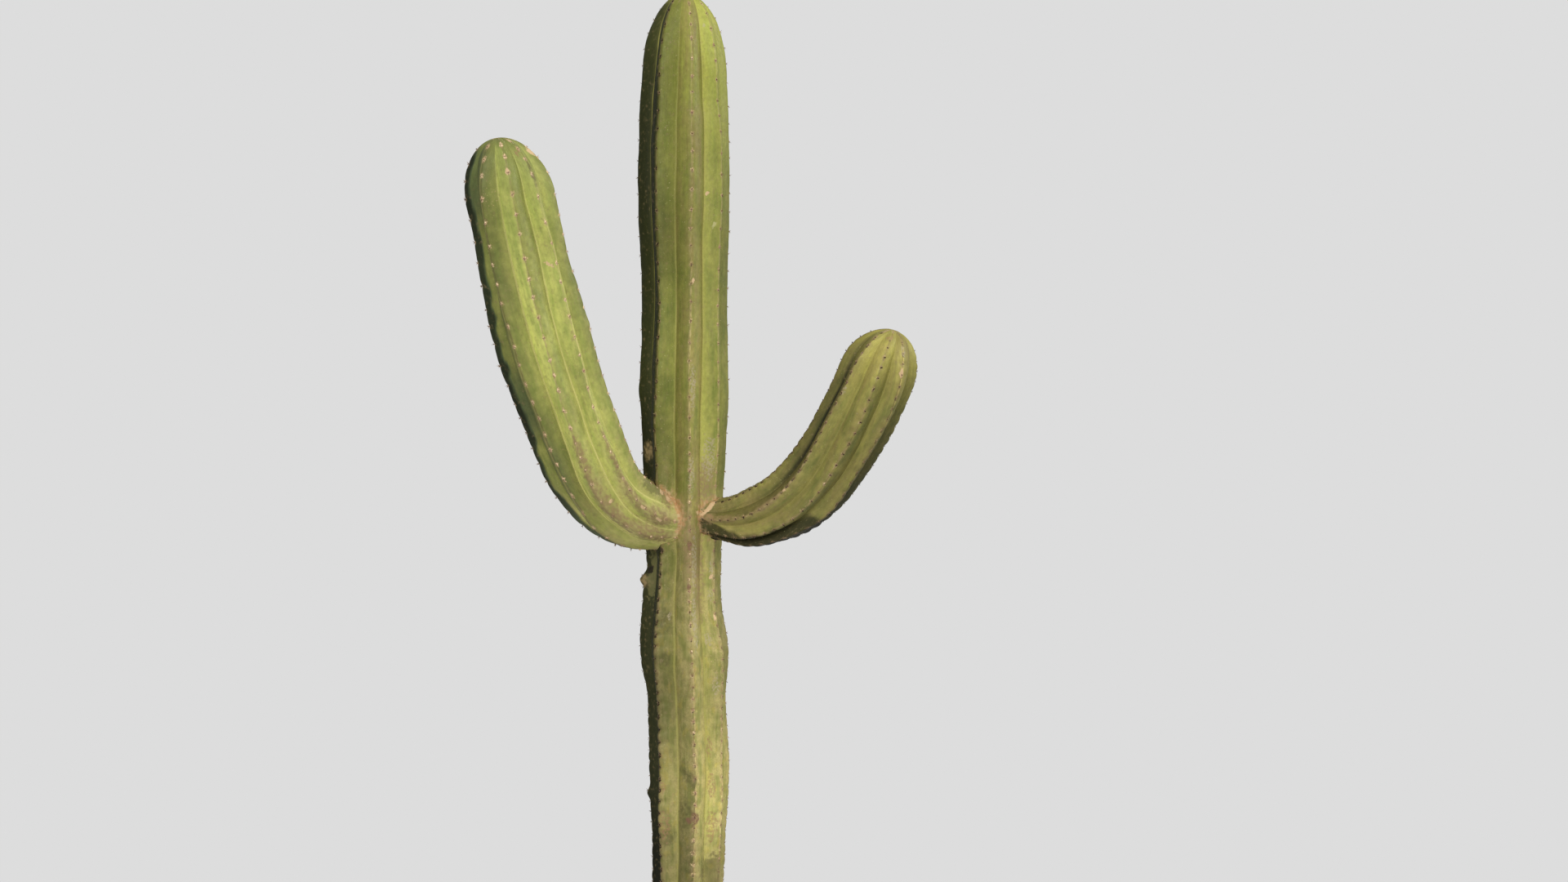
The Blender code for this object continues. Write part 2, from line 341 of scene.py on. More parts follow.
class Stem:
    """A ribbed stem that stands upright: the trunk. An arm changes only its middle line."""

    def __init__(self, facts):
        self.facts = facts
        self.name = facts["name"]
        self.ribs = facts["ribs"]
        self.length = facts["length"]
        self.dome_start = facts["length"] - facts["dome_length"]
        self.first_rib = math.radians(facts["first_rib_deg"])
        self.rib_width = math.tau / facts["ribs"]
        self.start = 0.0
        self.dice = np.random.default_rng(facts["seed"])
        self.grid = np.linspace(0.0, self.length, GRID_STEPS + 1)
        density = 1.0 / smooth_value(facts["areole_steps"], self.grid)
        counts = np.cumsum((density[1:] + density[:-1]) / 2.0 * np.diff(self.grid))
        self.areole_count = np.concatenate(([0.0], counts))
        self.rib_phase = self.dice.random(self.ribs)

    def middle(self, along):
        """Points on the middle line."""
        lean = smooth_value(TRUNK_LEAN, along)
        return np.stack([lean, np.zeros_like(lean), along + 0.0 * lean], axis=-1) + self.nudge(along)

    def nudge(self, along):
        places, right, up = np.array(NUDGES[self.name]).T
        right = smooth_value(tuple(zip(places, right)), along)
        up = smooth_value(tuple(zip(places, up)), along)
        return np.stack([right, np.zeros_like(right), up], axis=-1)

    def axes(self, along):
        """The directions of angle 0 and of a quarter turn, in the cross-section's plane."""
        flat = np.zeros(np.shape(along) + (3,))
        return flat + (1.0, 0.0, 0.0), flat + (0.0, 1.0, 0.0)

    def depth(self, along):
        """How deep the valleys are, as a share of the radius."""
        into_dome = (along - self.dome_start) / self.facts["dome_length"]
        cork = ease(1.0 - along / FOOT_CORK_HEIGHT)
        share = 1.0 + (FOOT_VALLEY_SHARE - 1.0) * cork
        return share * (VALLEY_DEPTH + (TIP_VALLEY_DEPTH - VALLEY_DEPTH) * ease(into_dome))

    def girth(self, along):
        """Radius over the crests, down to nothing at the tip."""
        into_dome = np.clip((along - self.dome_start) / self.facts["dome_length"], 0.0, 1.0)
        return smooth_value(self.facts["girth"], along) * np.sqrt(1.0 - into_dome**2)

    def plain_radius(self, turn, along):
        """Radius of the ribbed form without its finer relief."""
        return self.girth(along) * (1.0 - self.depth(along) * rib_profile(rib_drop(turn)))

    def angle(self, turn, along):
        wander = noise(2.0 * turn, along / CREST_WANDER_SIZE, self.facts["seed"], wrap=2 * self.ribs)
        shift = CREST_WANDER_DEG[self.name] * wander + self.bend(turn, along)
        return self.first_rib + turn * self.rib_width + np.radians(shift)

    def bend(self, turn, along):
        """Bends of the crest and valley lines, in degrees, easing out halfway to the next line."""
        total = np.zeros(np.broadcast(turn, along).shape)
        for line, stations in BENDS[self.name].items():
            away = (2.0 * turn - line + self.ribs) % (2 * self.ribs) - self.ribs
            total += np.maximum(1.0 - np.abs(away), 0.0) * smooth_value(stations, along)
        return total

    def point(self, turn, along, radius):
        out, side = self.axes(along)
        angle = self.angle(turn, along)[..., None]
        reach = np.asarray(radius)[..., None]
        return self.middle(along) + reach * (np.cos(angle) * out + np.sin(angle) * side)

    def areole_turn(self, rib, along):
        """Counts the areoles up a rib: one sits wherever this is a whole number."""
        rib = np.asarray(rib) % self.ribs
        count = np.interp(along, self.grid, self.areole_count)
        jitter = 0.22 * noise(rib, along / 0.055, self.facts["seed"] + 7, wrap=self.ribs)
        return count + self.rib_phase[rib.astype(int)] + jitter

    def areole_step(self, along):
        return smooth_value(self.facts["areole_steps"], along)


class Arm(Stem):
    """A stem that leaves the trunk nearly level and bends upwards."""

    def __init__(self, facts):
        super().__init__(facts)
        self.start = ARM_SKIN_START
        self.heading = math.radians(facts["heading_deg"])
        steps = round(self.length / PATH_STEP)
        forward = self.forward((np.arange(steps) + 0.5) * PATH_STEP)
        start = self.turned(np.array([[ARM_START_REACH, 0.0, 0.0]]))
        height = facts["start_height"]
        start += (float(smooth_value(TRUNK_LEAN, height)), 0.0, height)
        self.path = np.concatenate([start, start + np.cumsum(forward * PATH_STEP, axis=0)])
        self.path_places = np.arange(steps + 1) * PATH_STEP

    def turned(self, points):
        """Turn points about the vertical by the arm's heading."""
        x, y, z = np.moveaxis(points, -1, 0)
        cos, sin = math.cos(self.heading), math.sin(self.heading)
        return np.stack([x * cos - y * sin, x * sin + y * cos, z], axis=-1)

    def swing(self, along):
        return math.radians(self.facts["swing_deg"]) * along / self.length

    def pitch(self, along):
        bent = self.facts["bent_pitch_deg"]
        start = self.facts["start_pitch_deg"]
        bend_length = self.facts["bend_length"]
        onward = np.maximum(along - bend_length, 0.0) / (self.length - bend_length)
        climb = start + (bent - start) * ease(along / bend_length)
        return np.radians(climb + (self.facts["tip_pitch_deg"] - bent) * onward)

    def forward(self, along):
        swing, pitch = self.swing(along), self.pitch(along)
        level = np.cos(pitch)
        return self.turned(np.stack([level * np.cos(swing), level * np.sin(swing), np.sin(pitch)], -1))

    def axes(self, along):
        swing, pitch = self.swing(along), self.pitch(along)
        level = np.sin(pitch)
        out = np.stack([level * np.cos(swing), level * np.sin(swing), -np.cos(pitch)], -1)
        side = np.stack([-np.sin(swing), np.cos(swing), np.zeros_like(swing)], -1)
        return self.turned(out), self.turned(side)

    def middle(self, along):
        columns = [np.interp(along, self.path_places, self.path[:, i]) for i in range(3)]
        return np.stack(columns, axis=-1) + self.nudge(along)

    def depth(self, along):
        into_dome = (along - self.dome_start) / self.facts["dome_length"]
        start, end = ARM_BASE_FADE
        share = ARM_BASE_DEPTH_SHARE + (1.0 - ARM_BASE_DEPTH_SHARE) * ease((along - start) / (end - start))
        return share * (VALLEY_DEPTH + (TIP_VALLEY_DEPTH - VALLEY_DEPTH) * ease(into_dome))


def rib_drop(turn):
    """0 on a crest, 1 in a valley."""
    return np.abs(turn - np.round(turn)) * 2.0


def rib_profile(drop):
    """Shape of a flank: a rounded crest, a nearly straight side and a narrow valley."""
    low = CREST_ROUNDING
    side = (np.sqrt(drop**2 + low**2) - low) / (math.sqrt(1.0 + low**2) - low)
    rest = 1.0 - drop
    return side - (np.sqrt(rest**2 + VALLEY_ROUNDING**2) - rest)


def gap_to_arm(arm, points):
    """Distance from points to the foot of an arm, below zero inside it."""
    places = np.arange(0.0, 0.22, 0.005)
    centres = arm.middle(places)
    radii = arm.girth(places)
    nearest = np.full(len(points), 1e3)
    for centre, radius in zip(centres, radii):
        gap = np.linalg.norm(points - centre, axis=1) - radius
        nearest = np.minimum(nearest, gap)
    return nearest


def gap_to_trunk(trunk, points):
    """Distance from points to the trunk's skin, below zero inside it."""
    height = np.clip(points[:, 2], 0.0, trunk.dome_start)
    offset = points[:, :2] - trunk.middle(height)[:, :2]
    angle = np.arctan2(offset[:, 1], offset[:, 0])
    turn = (angle - trunk.first_rib) / trunk.rib_width
    return np.hypot(offset[:, 0], offset[:, 1]) - trunk.plain_radius(turn, height)


def joint_gap(stem, stems, points):
    """Distance to the other stem at the nearest joint."""
    trunk, *arms = stems
    if stem is trunk:
        return np.min([gap_to_arm(arm, points) for arm in arms], axis=0)
    return gap_to_trunk(trunk, points)


def surface_offset(stem, place, turn, along):
    """Distances in metres across and along the skin from a (turn, along) place."""
    turns = (turn - place[0] + stem.ribs / 2.0) % stem.ribs - stem.ribs / 2.0
    return turns * stem.rib_width * stem.girth(place[1]), along - place[1]


def lumps(stem, turn, along):
    height = np.zeros_like(along)
    for at_turn, at_along, lift, wide, tall in LUMPS[stem.name]:
        across, up = surface_offset(stem, (at_turn, at_along), turn, along)
        height += lift * np.exp(-((across / wide) ** 2) - (up / tall) ** 2)
    return height


def notches(stem, turn, along):
    """The crest dips at each areole and bulges between them."""
    phase = stem.areole_turn(np.round(turn), along)
    away = np.abs(phase - np.round(phase)) * stem.areole_step(along)
    rib = np.round(turn).astype(int) % stem.ribs
    depth = smooth_value(NOTCH_DEPTHS[stem.name], along) * np.array(NOTCH_SHARES[stem.name])[rib]
    depth = depth * (1.0 + 0.6 * noise(rib, along / 0.03, stem.facts["seed"] + 3))
    dip = np.exp(-((away / NOTCH_REACH_ALONG) ** 2))
    fade = np.exp(-((rib_drop(turn) / NOTCH_REACH_DOWN) ** 2))
    return depth * fade * (0.45 - dip)


def foot_cork(stem, turn, along, points):
    """Plates and upright cracks in the cork at the foot of the trunk."""
    share = ease(1.0 - along / FOOT_CORK_HEIGHT) * ease(along / 0.004)
    angle = turn * stem.rib_width
    plates = noise(np.cos(angle) * 7.0 + 20.0, np.sin(angle) * 7.0 + 20.0, along / 0.030)
    fine = noise(np.cos(angle) * 19.0 + 30.0, np.sin(angle) * 19.0 + 30.0, along / 0.012)
    cracks = -np.exp(-((plates / 0.13) ** 2))
    return CORK_RELIEF * share * (cracks + 0.5 * fine)


def relief(stem, stems, turn, along):
    """How far the skin stands out from the plain ribbed form, in metres."""
    plain = stem.point(turn, along, stem.plain_radius(turn, along))
    seed = stem.facts["seed"]
    x, y, z = plain.T
    fade = ease((stem.length - along) / 0.05)
    height = CREST_WAVE * noise(turn, along / CREST_WAVE_SIZE, seed + 2, wrap=stem.ribs)
    height += SWELL * noise(x / SWELL_SIZE, y / SWELL_SIZE, z / SWELL_SIZE + seed)
    height += DIMPLE * noise(x / DIMPLE_SIZE, y / DIMPLE_SIZE, z / DIMPLE_SIZE + seed)
    height = (height + notches(stem, turn, along)) * fade
    height += lumps(stem, turn, along)
    gap = joint_gap(stem, stems, plain)
    near = np.exp(-((gap / COLLAR_REACH) ** 2))
    height += COLLAR_HEIGHT * near
    if stem is stems[0]:
        return height + foot_cork(stem, turn, along, plain)
    folds = np.exp(-(((gap - 0.012) / 0.020) ** 2))
    bend = noise(x / 0.02, y / 0.02, z / 0.02)
    return height + WRINKLE * folds * np.sin(math.tau * gap / WRINKLE_LENGTH + 2.0 * bend)


def skin_points(stem, stems, turn, along):
    radius = stem.plain_radius(turn, along)
    swollen = radius + relief(stem, stems, turn, along) * ease(radius / 0.010)
    return stem.point(turn, along, swollen)


def row_places(stem):
    """Rows of points along a stem, close together, crowding towards the tip."""
    step = lambda place: float(smooth_value(stem.facts["row_steps"], place))
    places = [stem.start]
    while places[-1] + 1.5 * step(places[-1]) < stem.dome_start:
        places.append(places[-1] + step(places[-1]))
    dome = stem.facts["dome_length"]
    turns = np.radians(90.0) * np.arange(DOME_ROWS) / DOME_ROWS
    return np.concatenate([places, stem.dome_start + dome * np.sin(turns)])


def column_turns(stem):
    """Columns of points round a stem, closer together at crests and valleys."""
    per_rib = stem.facts["columns_per_rib"]
    turn = np.arange(stem.ribs * per_rib + 1) / per_rib
    return turn - COLUMN_CROWDING * np.sin(2.0 * math.tau * turn) / (2.0 * math.tau)


def strip_map(stem, turn, along, upper):
    """Map of the skin: one upright strip, or two side by side on the long trunk."""
    if stem.name != "trunk":
        return 0.01 + 0.98 * turn / stem.ribs, 0.03 + 0.96 * along / stem.length
    half = stem.length / 2.0
    across = 0.49 * turn / stem.ribs
    u = np.where(upper, 0.505 + across, 0.005 + across)
    v = 0.03 + 0.95 * np.where(upper, along - half, along) / (half + 0.01)
    return u, v


def skin_mesh(stem, stems):
    """The whole skin as one closed mesh, with what its material reads stored on it."""
    rows = row_places(stem)
    turns = column_turns(stem)
    around = len(turns) - 1
    grid_turn, grid_along = np.meshgrid(turns[:-1], rows)
    points = skin_points(stem, stems, grid_turn.ravel(), grid_along.ravel())
    tip = stem.middle(np.array([stem.length]))
    foot = stem.middle(np.array([stem.start]))
    if stem.name == "trunk":
        points[:around, 2] = 0.0
    points = np.concatenate([points, tip, foot])
    tip_index, foot_index = len(points) - 2, len(points) - 1

    low = np.arange(len(rows) - 1)[:, None] * around
    column = np.arange(around)[None, :]
    onward = (column + 1) % around
    quads = np.stack([low + column, low + onward, low + around + onward, low + around + column], -1)
    top = (len(rows) - 1) * around
    column, onward = column[0], onward[0]
    tip_fan = np.stack([top + column, top + onward, np.full(around, tip_index)], -1)
    foot_fan = np.stack([onward, column, np.full(around, foot_index)], -1)
    faces = quads.reshape(-1, 4).tolist() + tip_fan.tolist() + foot_fan.tolist()
    mesh = bpy.data.meshes.new(stem.name + "_skin")
    mesh.from_pydata(points, [], faces)

    # The same faces again, as (turn, along) at each of their corners
    column = np.arange(around)
    low_turn, high_turn = turns[column], turns[column + 1]
    quad_turn = np.stack([low_turn, high_turn, high_turn, low_turn], -1)
    quad_turn = np.broadcast_to(quad_turn, (len(rows) - 1, around, 4)).reshape(-1, 4)
    ends = np.stack([rows[:-1], rows[:-1], rows[1:], rows[1:]], -1)
    quad_along = np.repeat(ends, around, axis=0)
    middle_turn = (low_turn + high_turn) / 2.0
    fan_turn = np.stack([low_turn, high_turn, middle_turn], -1)
    tip_along = np.tile([rows[-1], rows[-1], stem.length], (around, 1))
    foot_turn = np.stack([high_turn, low_turn, middle_turn], -1)
    foot_along = np.full((around, 3), stem.start)
    corner_turn = np.concatenate([quad_turn.ravel(), fan_turn.ravel(), foot_turn.ravel()])
    corner_along = np.concatenate([quad_along.ravel(), tip_along.ravel(), foot_along.ravel()])
    face_middle = np.concatenate([quad_turn.mean(1).repeat(4), middle_turn.repeat(3), middle_turn.repeat(3)])
    face_low = np.concatenate([quad_along[:, 0].repeat(4), np.full(6 * around, rows[-1])])
    face_low[-3 * around:] = 0.0
    store_map(mesh, stem, corner_turn, corner_along, face_low, foot_turn)
    store_corner_facts(mesh, stem, corner_turn, corner_along, face_middle)
    vertex_turn = np.concatenate([grid_turn.ravel(), [0.25, 0.25]])
    vertex_along = np.concatenate([grid_along.ravel(), [stem.length, stem.start]])
    store_vertex_facts(mesh, stem, stems, vertex_turn, vertex_along, points)
    mesh.shade_smooth()
    mesh.validate()
    return mesh


def store_map(mesh, stem, turn, along, face_low, foot_turn):
    """The skin's map, with the flat foot as a small disc in a corner."""
    u, v = strip_map(stem, turn, along, face_low >= stem.length / 2.0)
    count = foot_turn.size
    angle = foot_turn.ravel() * stem.rib_width
    reach = np.tile([0.010, 0.010, 0.0], count // 3)
    u[-count:] = 0.015 + reach * np.cos(angle)
    v[-count:] = 0.013 + reach * np.sin(angle)
    layer = mesh.uv_layers.new(name="OFBake")
    layer.data.foreach_set("uv", np.stack([u, v], -1).ravel())


def store(mesh, name, values, domain="POINT"):
    """Keep numbers, or triples of numbers, on a mesh for its material to read."""
    kind, field = ("FLOAT_VECTOR", "vector") if values.ndim == 2 else ("FLOAT", "value")
    layer = mesh.attributes.new(name, kind, domain)
    layer.data.foreach_set(field, values.astype(np.float32).ravel())


def store_corner_facts(mesh, stem, turn, along, face_middle):
    rib = np.round(face_middle)
    across = (turn - rib) * stem.rib_width * np.maximum(stem.girth(along), 0.004)
    store(mesh, "skin_place", np.stack([across, along, rib % stem.ribs], -1), "CORNER")
    store(mesh, "areole_turn", stem.areole_turn(rib, along), "CORNER")
    light_and_shade, warmth, valley_light = flank_looks(stem, turn, along, face_middle)
    store(mesh, "flank_light_and_shade", light_and_shade, "CORNER")
    store(mesh, "flank_warmth", warmth, "CORNER")
    store(mesh, "flank_valley_light", valley_light, "CORNER")
    rib = rib.astype(int) % stem.ribs
    valley = np.floor(face_middle).astype(int) % stem.ribs
    ridges = RIDGE_LINES[stem.name]
    ridge, aside = np.array([ridges.get(i, (0.0, 0.0)) for i in range(stem.ribs)])[rib].T
    line = np.array(VALLEY_HIGHLIGHT_LINES[stem.name])[valley] * smooth_value(HIGHLIGHT_LINES_ALONG[stem.name], along)
    for (name, one_valley), stations in HIGHLIGHT_LINES_ALONG_VALLEYS.items():
        here = (stem.name == name) & (valley == one_valley)
        line = np.where(here, line * smooth_value(stations, along), line)
    store(mesh, "areole_pale", np.array(AREOLE_PALE[stem.name])[rib], "CORNER")
    store(mesh, "areole_dark", np.array(AREOLE_DARK[stem.name])[rib], "CORNER")
    store(mesh, "tooth_edge", np.array(TOOTH_EDGES[stem.name])[rib], "CORNER")
    store(mesh, "valley_highlight_line", line, "CORNER")
    store(mesh, "ridge", ridge * ease((stem.length - along) / 0.06), "CORNER")
    store(mesh, "ridge_place", across - aside, "CORNER")


# How each rib's two flanks look, in the order that the ribs go round: (lightness at the crest,
# lightness in the valley, warmth, valley light). The lightness is painted light and shade. Warmth
# leans from green to olive. Valley light is a painted yellow highlight by the valley, or, below
# zero, a painted shaded edge there.
FLANK_LOOKS = {
    "trunk": (
        ((0.95, 1.05, 0.20, 0.3), (0.95, 0.95, 0.40, 0.4)),
        ((0.90, 0.90, 0.40, 0.5), (0.90, 0.90, 0.50, 0.4)),
        ((0.80, 0.80, 0.40, 0.5), (0.70, 0.70, 0.40, 0.5)),
        ((0.50, 0.50, 0.35, 0.5), (0.36, 0.36, 0.30, 0.4)),
        ((0.24, 0.24, 0.25, 0.3), (0.15, 0.18, 0.20, 0.2)),
        ((0.15, 0.22, 0.40, 0.3), (0.84, 0.94, 0.10, 0.12)),
        ((1.12, 1.14, 0.45, -0.15), (1.20, 1.18, 0.55, 0.0)),
        ((1.36, 1.42, 0.14, 0.8), (1.36, 1.36, 0.15, 0.3)),
    ),
    "left_arm": (
        ((0.60, 0.50, 0.15, 0.0), (0.64, 0.80, 0.15, 0.3)),
        ((1.30, 1.66, 0.10, 0.3), (0.94, 1.02, 0.15, 0.4)),
        ((1.08, 1.22, 0.10, 0.3), (1.22, 1.30, 0.15, 0.4)),
        ((0.84, 1.18, 0.15, 0.4), (0.80, 0.80, 0.20, 0.4)),
        ((0.85, 0.85, 0.20, 0.5), (0.85, 0.85, 0.25, 0.5)),
        ((0.85, 0.85, 0.20, 0.5), (0.80, 0.80, 0.25, 0.5)),
        ((0.70, 0.70, 0.20, 0.4), (0.55, 0.55, 0.25, 0.4)),
        ((0.40, 0.40, 0.20, 0.3), (0.28, 0.28, 0.25, 0.3)),
        ((0.20, 0.20, 0.20, 0.2), (0.14, 0.80, 0.05, 0.0)),
    ),
    "right_arm": (
        ((0.26, 0.26, 0.20, 0.2), (0.32, 0.32, 0.40, 0.2)),
        ((0.42, 0.42, 0.50, 0.3), (0.55, 0.55, 0.50, 0.3)),
        ((0.70, 0.70, 0.50, 0.4), (0.80, 0.80, 0.50, 0.4)),
        ((0.85, 0.85, 0.50, 0.4), (0.80, 0.80, 0.50, 0.4)),
        ((0.75, 0.75, 0.50, 0.4), (0.80, 0.76, 0.40, -1.0)),
        ((0.50, 0.50, 0.50, -1.0), (1.04, 1.04, 0.30, 0.2)),
        ((1.20, 1.08, 0.50, 0.2), (0.90, 0.82, 0.25, 0.3)),
        ((1.04, 0.92, 0.40, 0.3), (0.36, 0.30, 0.45, 0.0)),
    ),
}
# How the painted light and shade changes along each stem
PAINTED_LIGHT_ALONG = {
    "trunk": (
        (0.00, 1.00),
        (0.54, 0.85),
        (0.62, 1.10),
        (0.70, 1.12),
        (0.83, 0.93),
        (1.04, 0.92),
        (1.30, 0.98),
        (1.43, 1.08),
        (1.55, 0.97),
        (1.67, 0.86),
        (1.79, 0.88),
        (1.91, 0.94),
        (2.127, 1.04),
    ),
    "left_arm": ((0.0, 0.95), (0.30, 1.02), (0.40, 1.08), (0.55, 0.97), (0.70, 0.92), (0.823, 0.78)),
    "right_arm": ((0.0, 0.90), (0.20, 0.92), (0.40, 1.05), (0.584, 1.22)),
}
# Further change of the painted light and shade along single flanks, by rib and by side: before
# its crest is 0, after it is 1
PAINTED_LIGHT_ALONG_FLANKS = {
    "trunk": {
        (4, 1): (
            (0.54, 0.34),
            (0.62, 0.54),
            (0.70, 0.76),
            (0.83, 0.98),
            (0.94, 1.16),
            (1.15, 1.35),
            (1.30, 0.68),
            (1.42, 1.25),
            (1.66, 1.20),
            (1.80, 1.04),
            (1.93, 1.20),
            (2.04, 1.60),
        ),
        (5, 0): ((0.54, 0.50), (0.70, 0.80), (0.90, 1.0), (1.30, 0.9), (1.66, 1.0), (1.90, 0.9), (2.04, 1.3)),
        (5, 1): (
            (0.54, 0.98),
            (0.70, 1.02),
            (0.83, 0.74),
            (0.94, 0.92),
            (1.30, 0.97),
            (1.42, 1.13),
            (1.54, 1.30),
            (1.66, 0.84),
            (1.79, 1.04),
            (1.91, 0.88),
            (2.03, 0.78),
        ),
        (6, 0): (
            (0.54, 0.54),
            (0.62, 0.60),
            (0.71, 0.70),
            (0.83, 0.81),
            (0.94, 0.98),
            (1.04, 0.82),
            (1.30, 0.92),
            (1.42, 0.88),
            (1.60, 1.00),
            (1.79, 1.06),
            (2.03, 1.19),
        ),
        (6, 1): ((0.54, 0.95), (0.82, 1.09), (1.04, 1.03), (1.30, 1.09), (1.66, 1.05), (1.91, 0.94), (2.03, 0.90)),
        (7, 0): (
            (0.54, 0.95),
            (0.62, 1.12),
            (0.70, 0.95),
            (0.83, 0.83),
            (0.94, 1.00),
            (1.04, 1.04),
            (1.20, 0.98),
            (1.30, 1.10),
            (1.42, 0.92),
            (1.54, 0.97),
            (1.66, 1.12),
            (1.79, 1.02),
            (2.03, 1.12),
        ),
        (0, 0): (
            (0.54, 1.10),
            (0.70, 1.20),
            (0.82, 1.18),
            (0.94, 0.92),
            (1.04, 1.25),
            (1.30, 1.02),
            (1.42, 1.12),
            (1.54, 0.95),
            (1.66, 1.09),
            (1.79, 1.26),
            (2.03, 1.37),
        ),
    },
    "left_arm": {
        (8, 1): (
            (0.14, 2.5), (0.20, 1.1), (0.27, 1.0), (0.33, 0.56), (0.41, 0.54),
            (0.48, 0.88), (0.56, 0.92), (0.63, 1.06), (0.71, 0.64), (0.78, 0.74),
        ),
        (0, 0): ((0.14, 1.8), (0.20, 1.2), (0.33, 1.0), (0.45, 1.1), (0.60, 1.1), (0.78, 1.0)),
        (0, 1): ((0.10, 1.6), (0.20, 0.9), (0.27, 0.74), (0.40, 1.10), (0.48, 1.17), (0.56, 0.92), (0.70, 1.0)),
        (1, 0): ((0.10, 1.1), (0.27, 1.12), (0.40, 1.12), (0.48, 1.32), (0.60, 1.30), (0.71, 1.14), (0.77, 1.0)),
        (1, 1): ((0.10, 1.0), (0.27, 1.2), (0.34, 1.0), (0.48, 1.12), (0.56, 0.90), (0.65, 0.88), (0.77, 0.97)),
        (2, 0): ((0.27, 1.12), (0.41, 0.92), (0.48, 1.12), (0.56, 1.2), (0.63, 1.08), (0.71, 1.38), (0.80, 1.0)),
        (2, 1): ((0.05, 0.85), (0.12, 0.95), (0.20, 1.2), (0.45, 1.3), (0.60, 1.3), (0.71, 1.15), (0.78, 0.85)),
        (3, 0): ((0.05, 0.85), (0.12, 0.90), (0.27, 0.97), (0.40, 0.84), (0.60, 0.82), (0.71, 1.05)),
    },
    "right_arm": {
        (4, 1): ((0.06, 1.2), (0.11, 1.7), (0.18, 1.65), (0.25, 1.3), (0.34, 0.78), (0.45, 0.76), (0.55, 0.9)),
        (5, 0): ((0.10, 1.5), (0.20, 1.5), (0.30, 1.1), (0.45, 1.0)),
        (5, 1): ((0.05, 1.5), (0.12, 1.55), (0.21, 1.42), (0.27, 1.30), (0.36, 1.06), (0.45, 1.15)),
        (6, 0): ((0.05, 1.5), (0.12, 1.45), (0.20, 1.05), (0.30, 1.05), (0.39, 0.88), (0.45, 1.08)),
        (6, 1): ((0.10, 1.0), (0.22, 1.25), (0.30, 1.05), (0.45, 1.10)),
        (7, 0): ((0.14, 1.0), (0.22, 1.40), (0.30, 1.0), (0.45, 1.10)),
        (7, 1): ((0.14, 0.6), (0.25, 1.2), (0.42, 1.8), (0.50, 2.6), (0.584, 2.6)),
        (0, 0): ((0.14, 0.5), (0.20, 0.9), (0.27, 1.2), (0.36, 1.5), (0.45, 2.1), (0.52, 3.0), (0.584, 3.3)),
    },
}
# How dark the shaded edges beside the valleys are along each stem
SHADES_ALONG = {
    "trunk": ((0.0, 1.0), (2.127, 1.0)),
    "left_arm": ((0.0, 1.0), (0.823, 1.0)),
    "right_arm": ((0.05, 0.1), (0.17, 0.15), (0.26, 0.65), (0.34, 0.9), (0.44, 0.9), (0.52, 0.5), (0.584, 0.1)),
}
# How much painted shade darkens the underside
UNDERSIDE_SHADE = {"trunk": 0.0, "left_arm": 0.0, "right_arm": 0.85}
# How far down, from 0 level to 1 straight down, that darkness starts along the stem
UNDERSIDE_EDGE = ((0.05, -0.05), (0.075, 0.15), (0.10, 0.36), (0.14, 0.50), (0.20, 0.56),
                  (0.27, 0.66), (0.40, 0.70))

# How strong the pale line of painted highlight is down each valley, in turn, and how that changes
# along each stem
VALLEY_HIGHLIGHT_LINES = {
    "trunk": (0.5, 0.5, 0.5, 0.4, 1.6, 0.6, 0.8, 0.4),
    "left_arm": (1.0, 1.0, 0.7, 0.6, 0.6, 0.6, 0.6, 0.4, 0.0),
    "right_arm": (0.1, 0.2, 0.4, 0.5, 0.0, 0.7, 0.9, 0.0),
}
HIGHLIGHT_LINES_ALONG = {
    "trunk": ((0.0, 0.2), (0.4, 0.8), (2.0, 1.0), (2.127, 0.3)),
    "left_arm": ((0.02, 1.0), (0.10, 1.5), (0.30, 1.3), (0.45, 1.1), (0.60, 0.9), (0.72, 0.6), (0.81, 0.0)),
    "right_arm": ((0.05, 0.2), (0.20, 0.8), (0.42, 0.9), (0.55, 0.2)),
}
# Further change of that painted highlight line along single valleys
HIGHLIGHT_LINES_ALONG_VALLEYS = {
    ("trunk", 4): ((1.10, 0.0), (1.30, 0.5), (1.60, 0.9), (1.80, 1.0), (2.02, 1.6)),
    ("trunk", 5): ((0.90, 1.1), (1.08, 0.8), (1.18, 0.5), (1.32, 0.9), (1.70, 0.7), (1.90, 0.5), (2.05, 0.2)),
}
# Pale ridge lines beside the crests: how strong, and how far to the side in metres
RIDGE_LINES = {
    "trunk": {},
    "left_arm": {0: (0.5, -0.0030), 2: (0.9, 0.0040), 4: (0.5, 0.0030), 6: (0.5, -0.0030)},
    "right_arm": {},
}
# How pale the edges of the teeth between areoles are on each rib
TOOTH_EDGES = {
    "trunk": (0.3, 0.3, 0.3, 0.3, 0.3, 0.8, 0.8, 0.4),
    "left_arm": (0.0, 0.2, 0.0, 0.2, 0.2, 0.2, 0.2, 0.2, 0.0),
    "right_arm": (0.2, 0.3, 0.3, 0.3, 0.3, 1.1, 0.5, 0.3),
}
# How pale and how dark the areoles are on each rib. Low paleness on the ribs painted dark keeps
# their wool small and faint, as painted shade; the dark is the tick under each areole, partly its
# own dark spot and partly painted shade in its notch
AREOLE_PALE = {
    "trunk": (0.6, 0.6, 0.6, 0.6, 0.1, 0.25, 0.9, 0.8),
    "left_arm": (0.85, 0.85, 0.85, 0.9, 0.9, 0.9, 0.9, 0.9, 0.4),
    "right_arm": (0.3, 0.6, 0.6, 0.6, 0.3, 0.75, 0.55, 0.40),
}
AREOLE_DARK = {
    "trunk": (0.4, 0.4, 0.4, 0.4, 0.4, 0.90, 0.5, 0.25),
    "left_arm": (0.3, 0.25, 0.3, 0.3, 0.3, 0.3, 0.3, 0.4, 0.8),
    "right_arm": (0.6, 0.6, 0.6, 0.6, 0.9, 0.75, 0.45, 0.65),
}


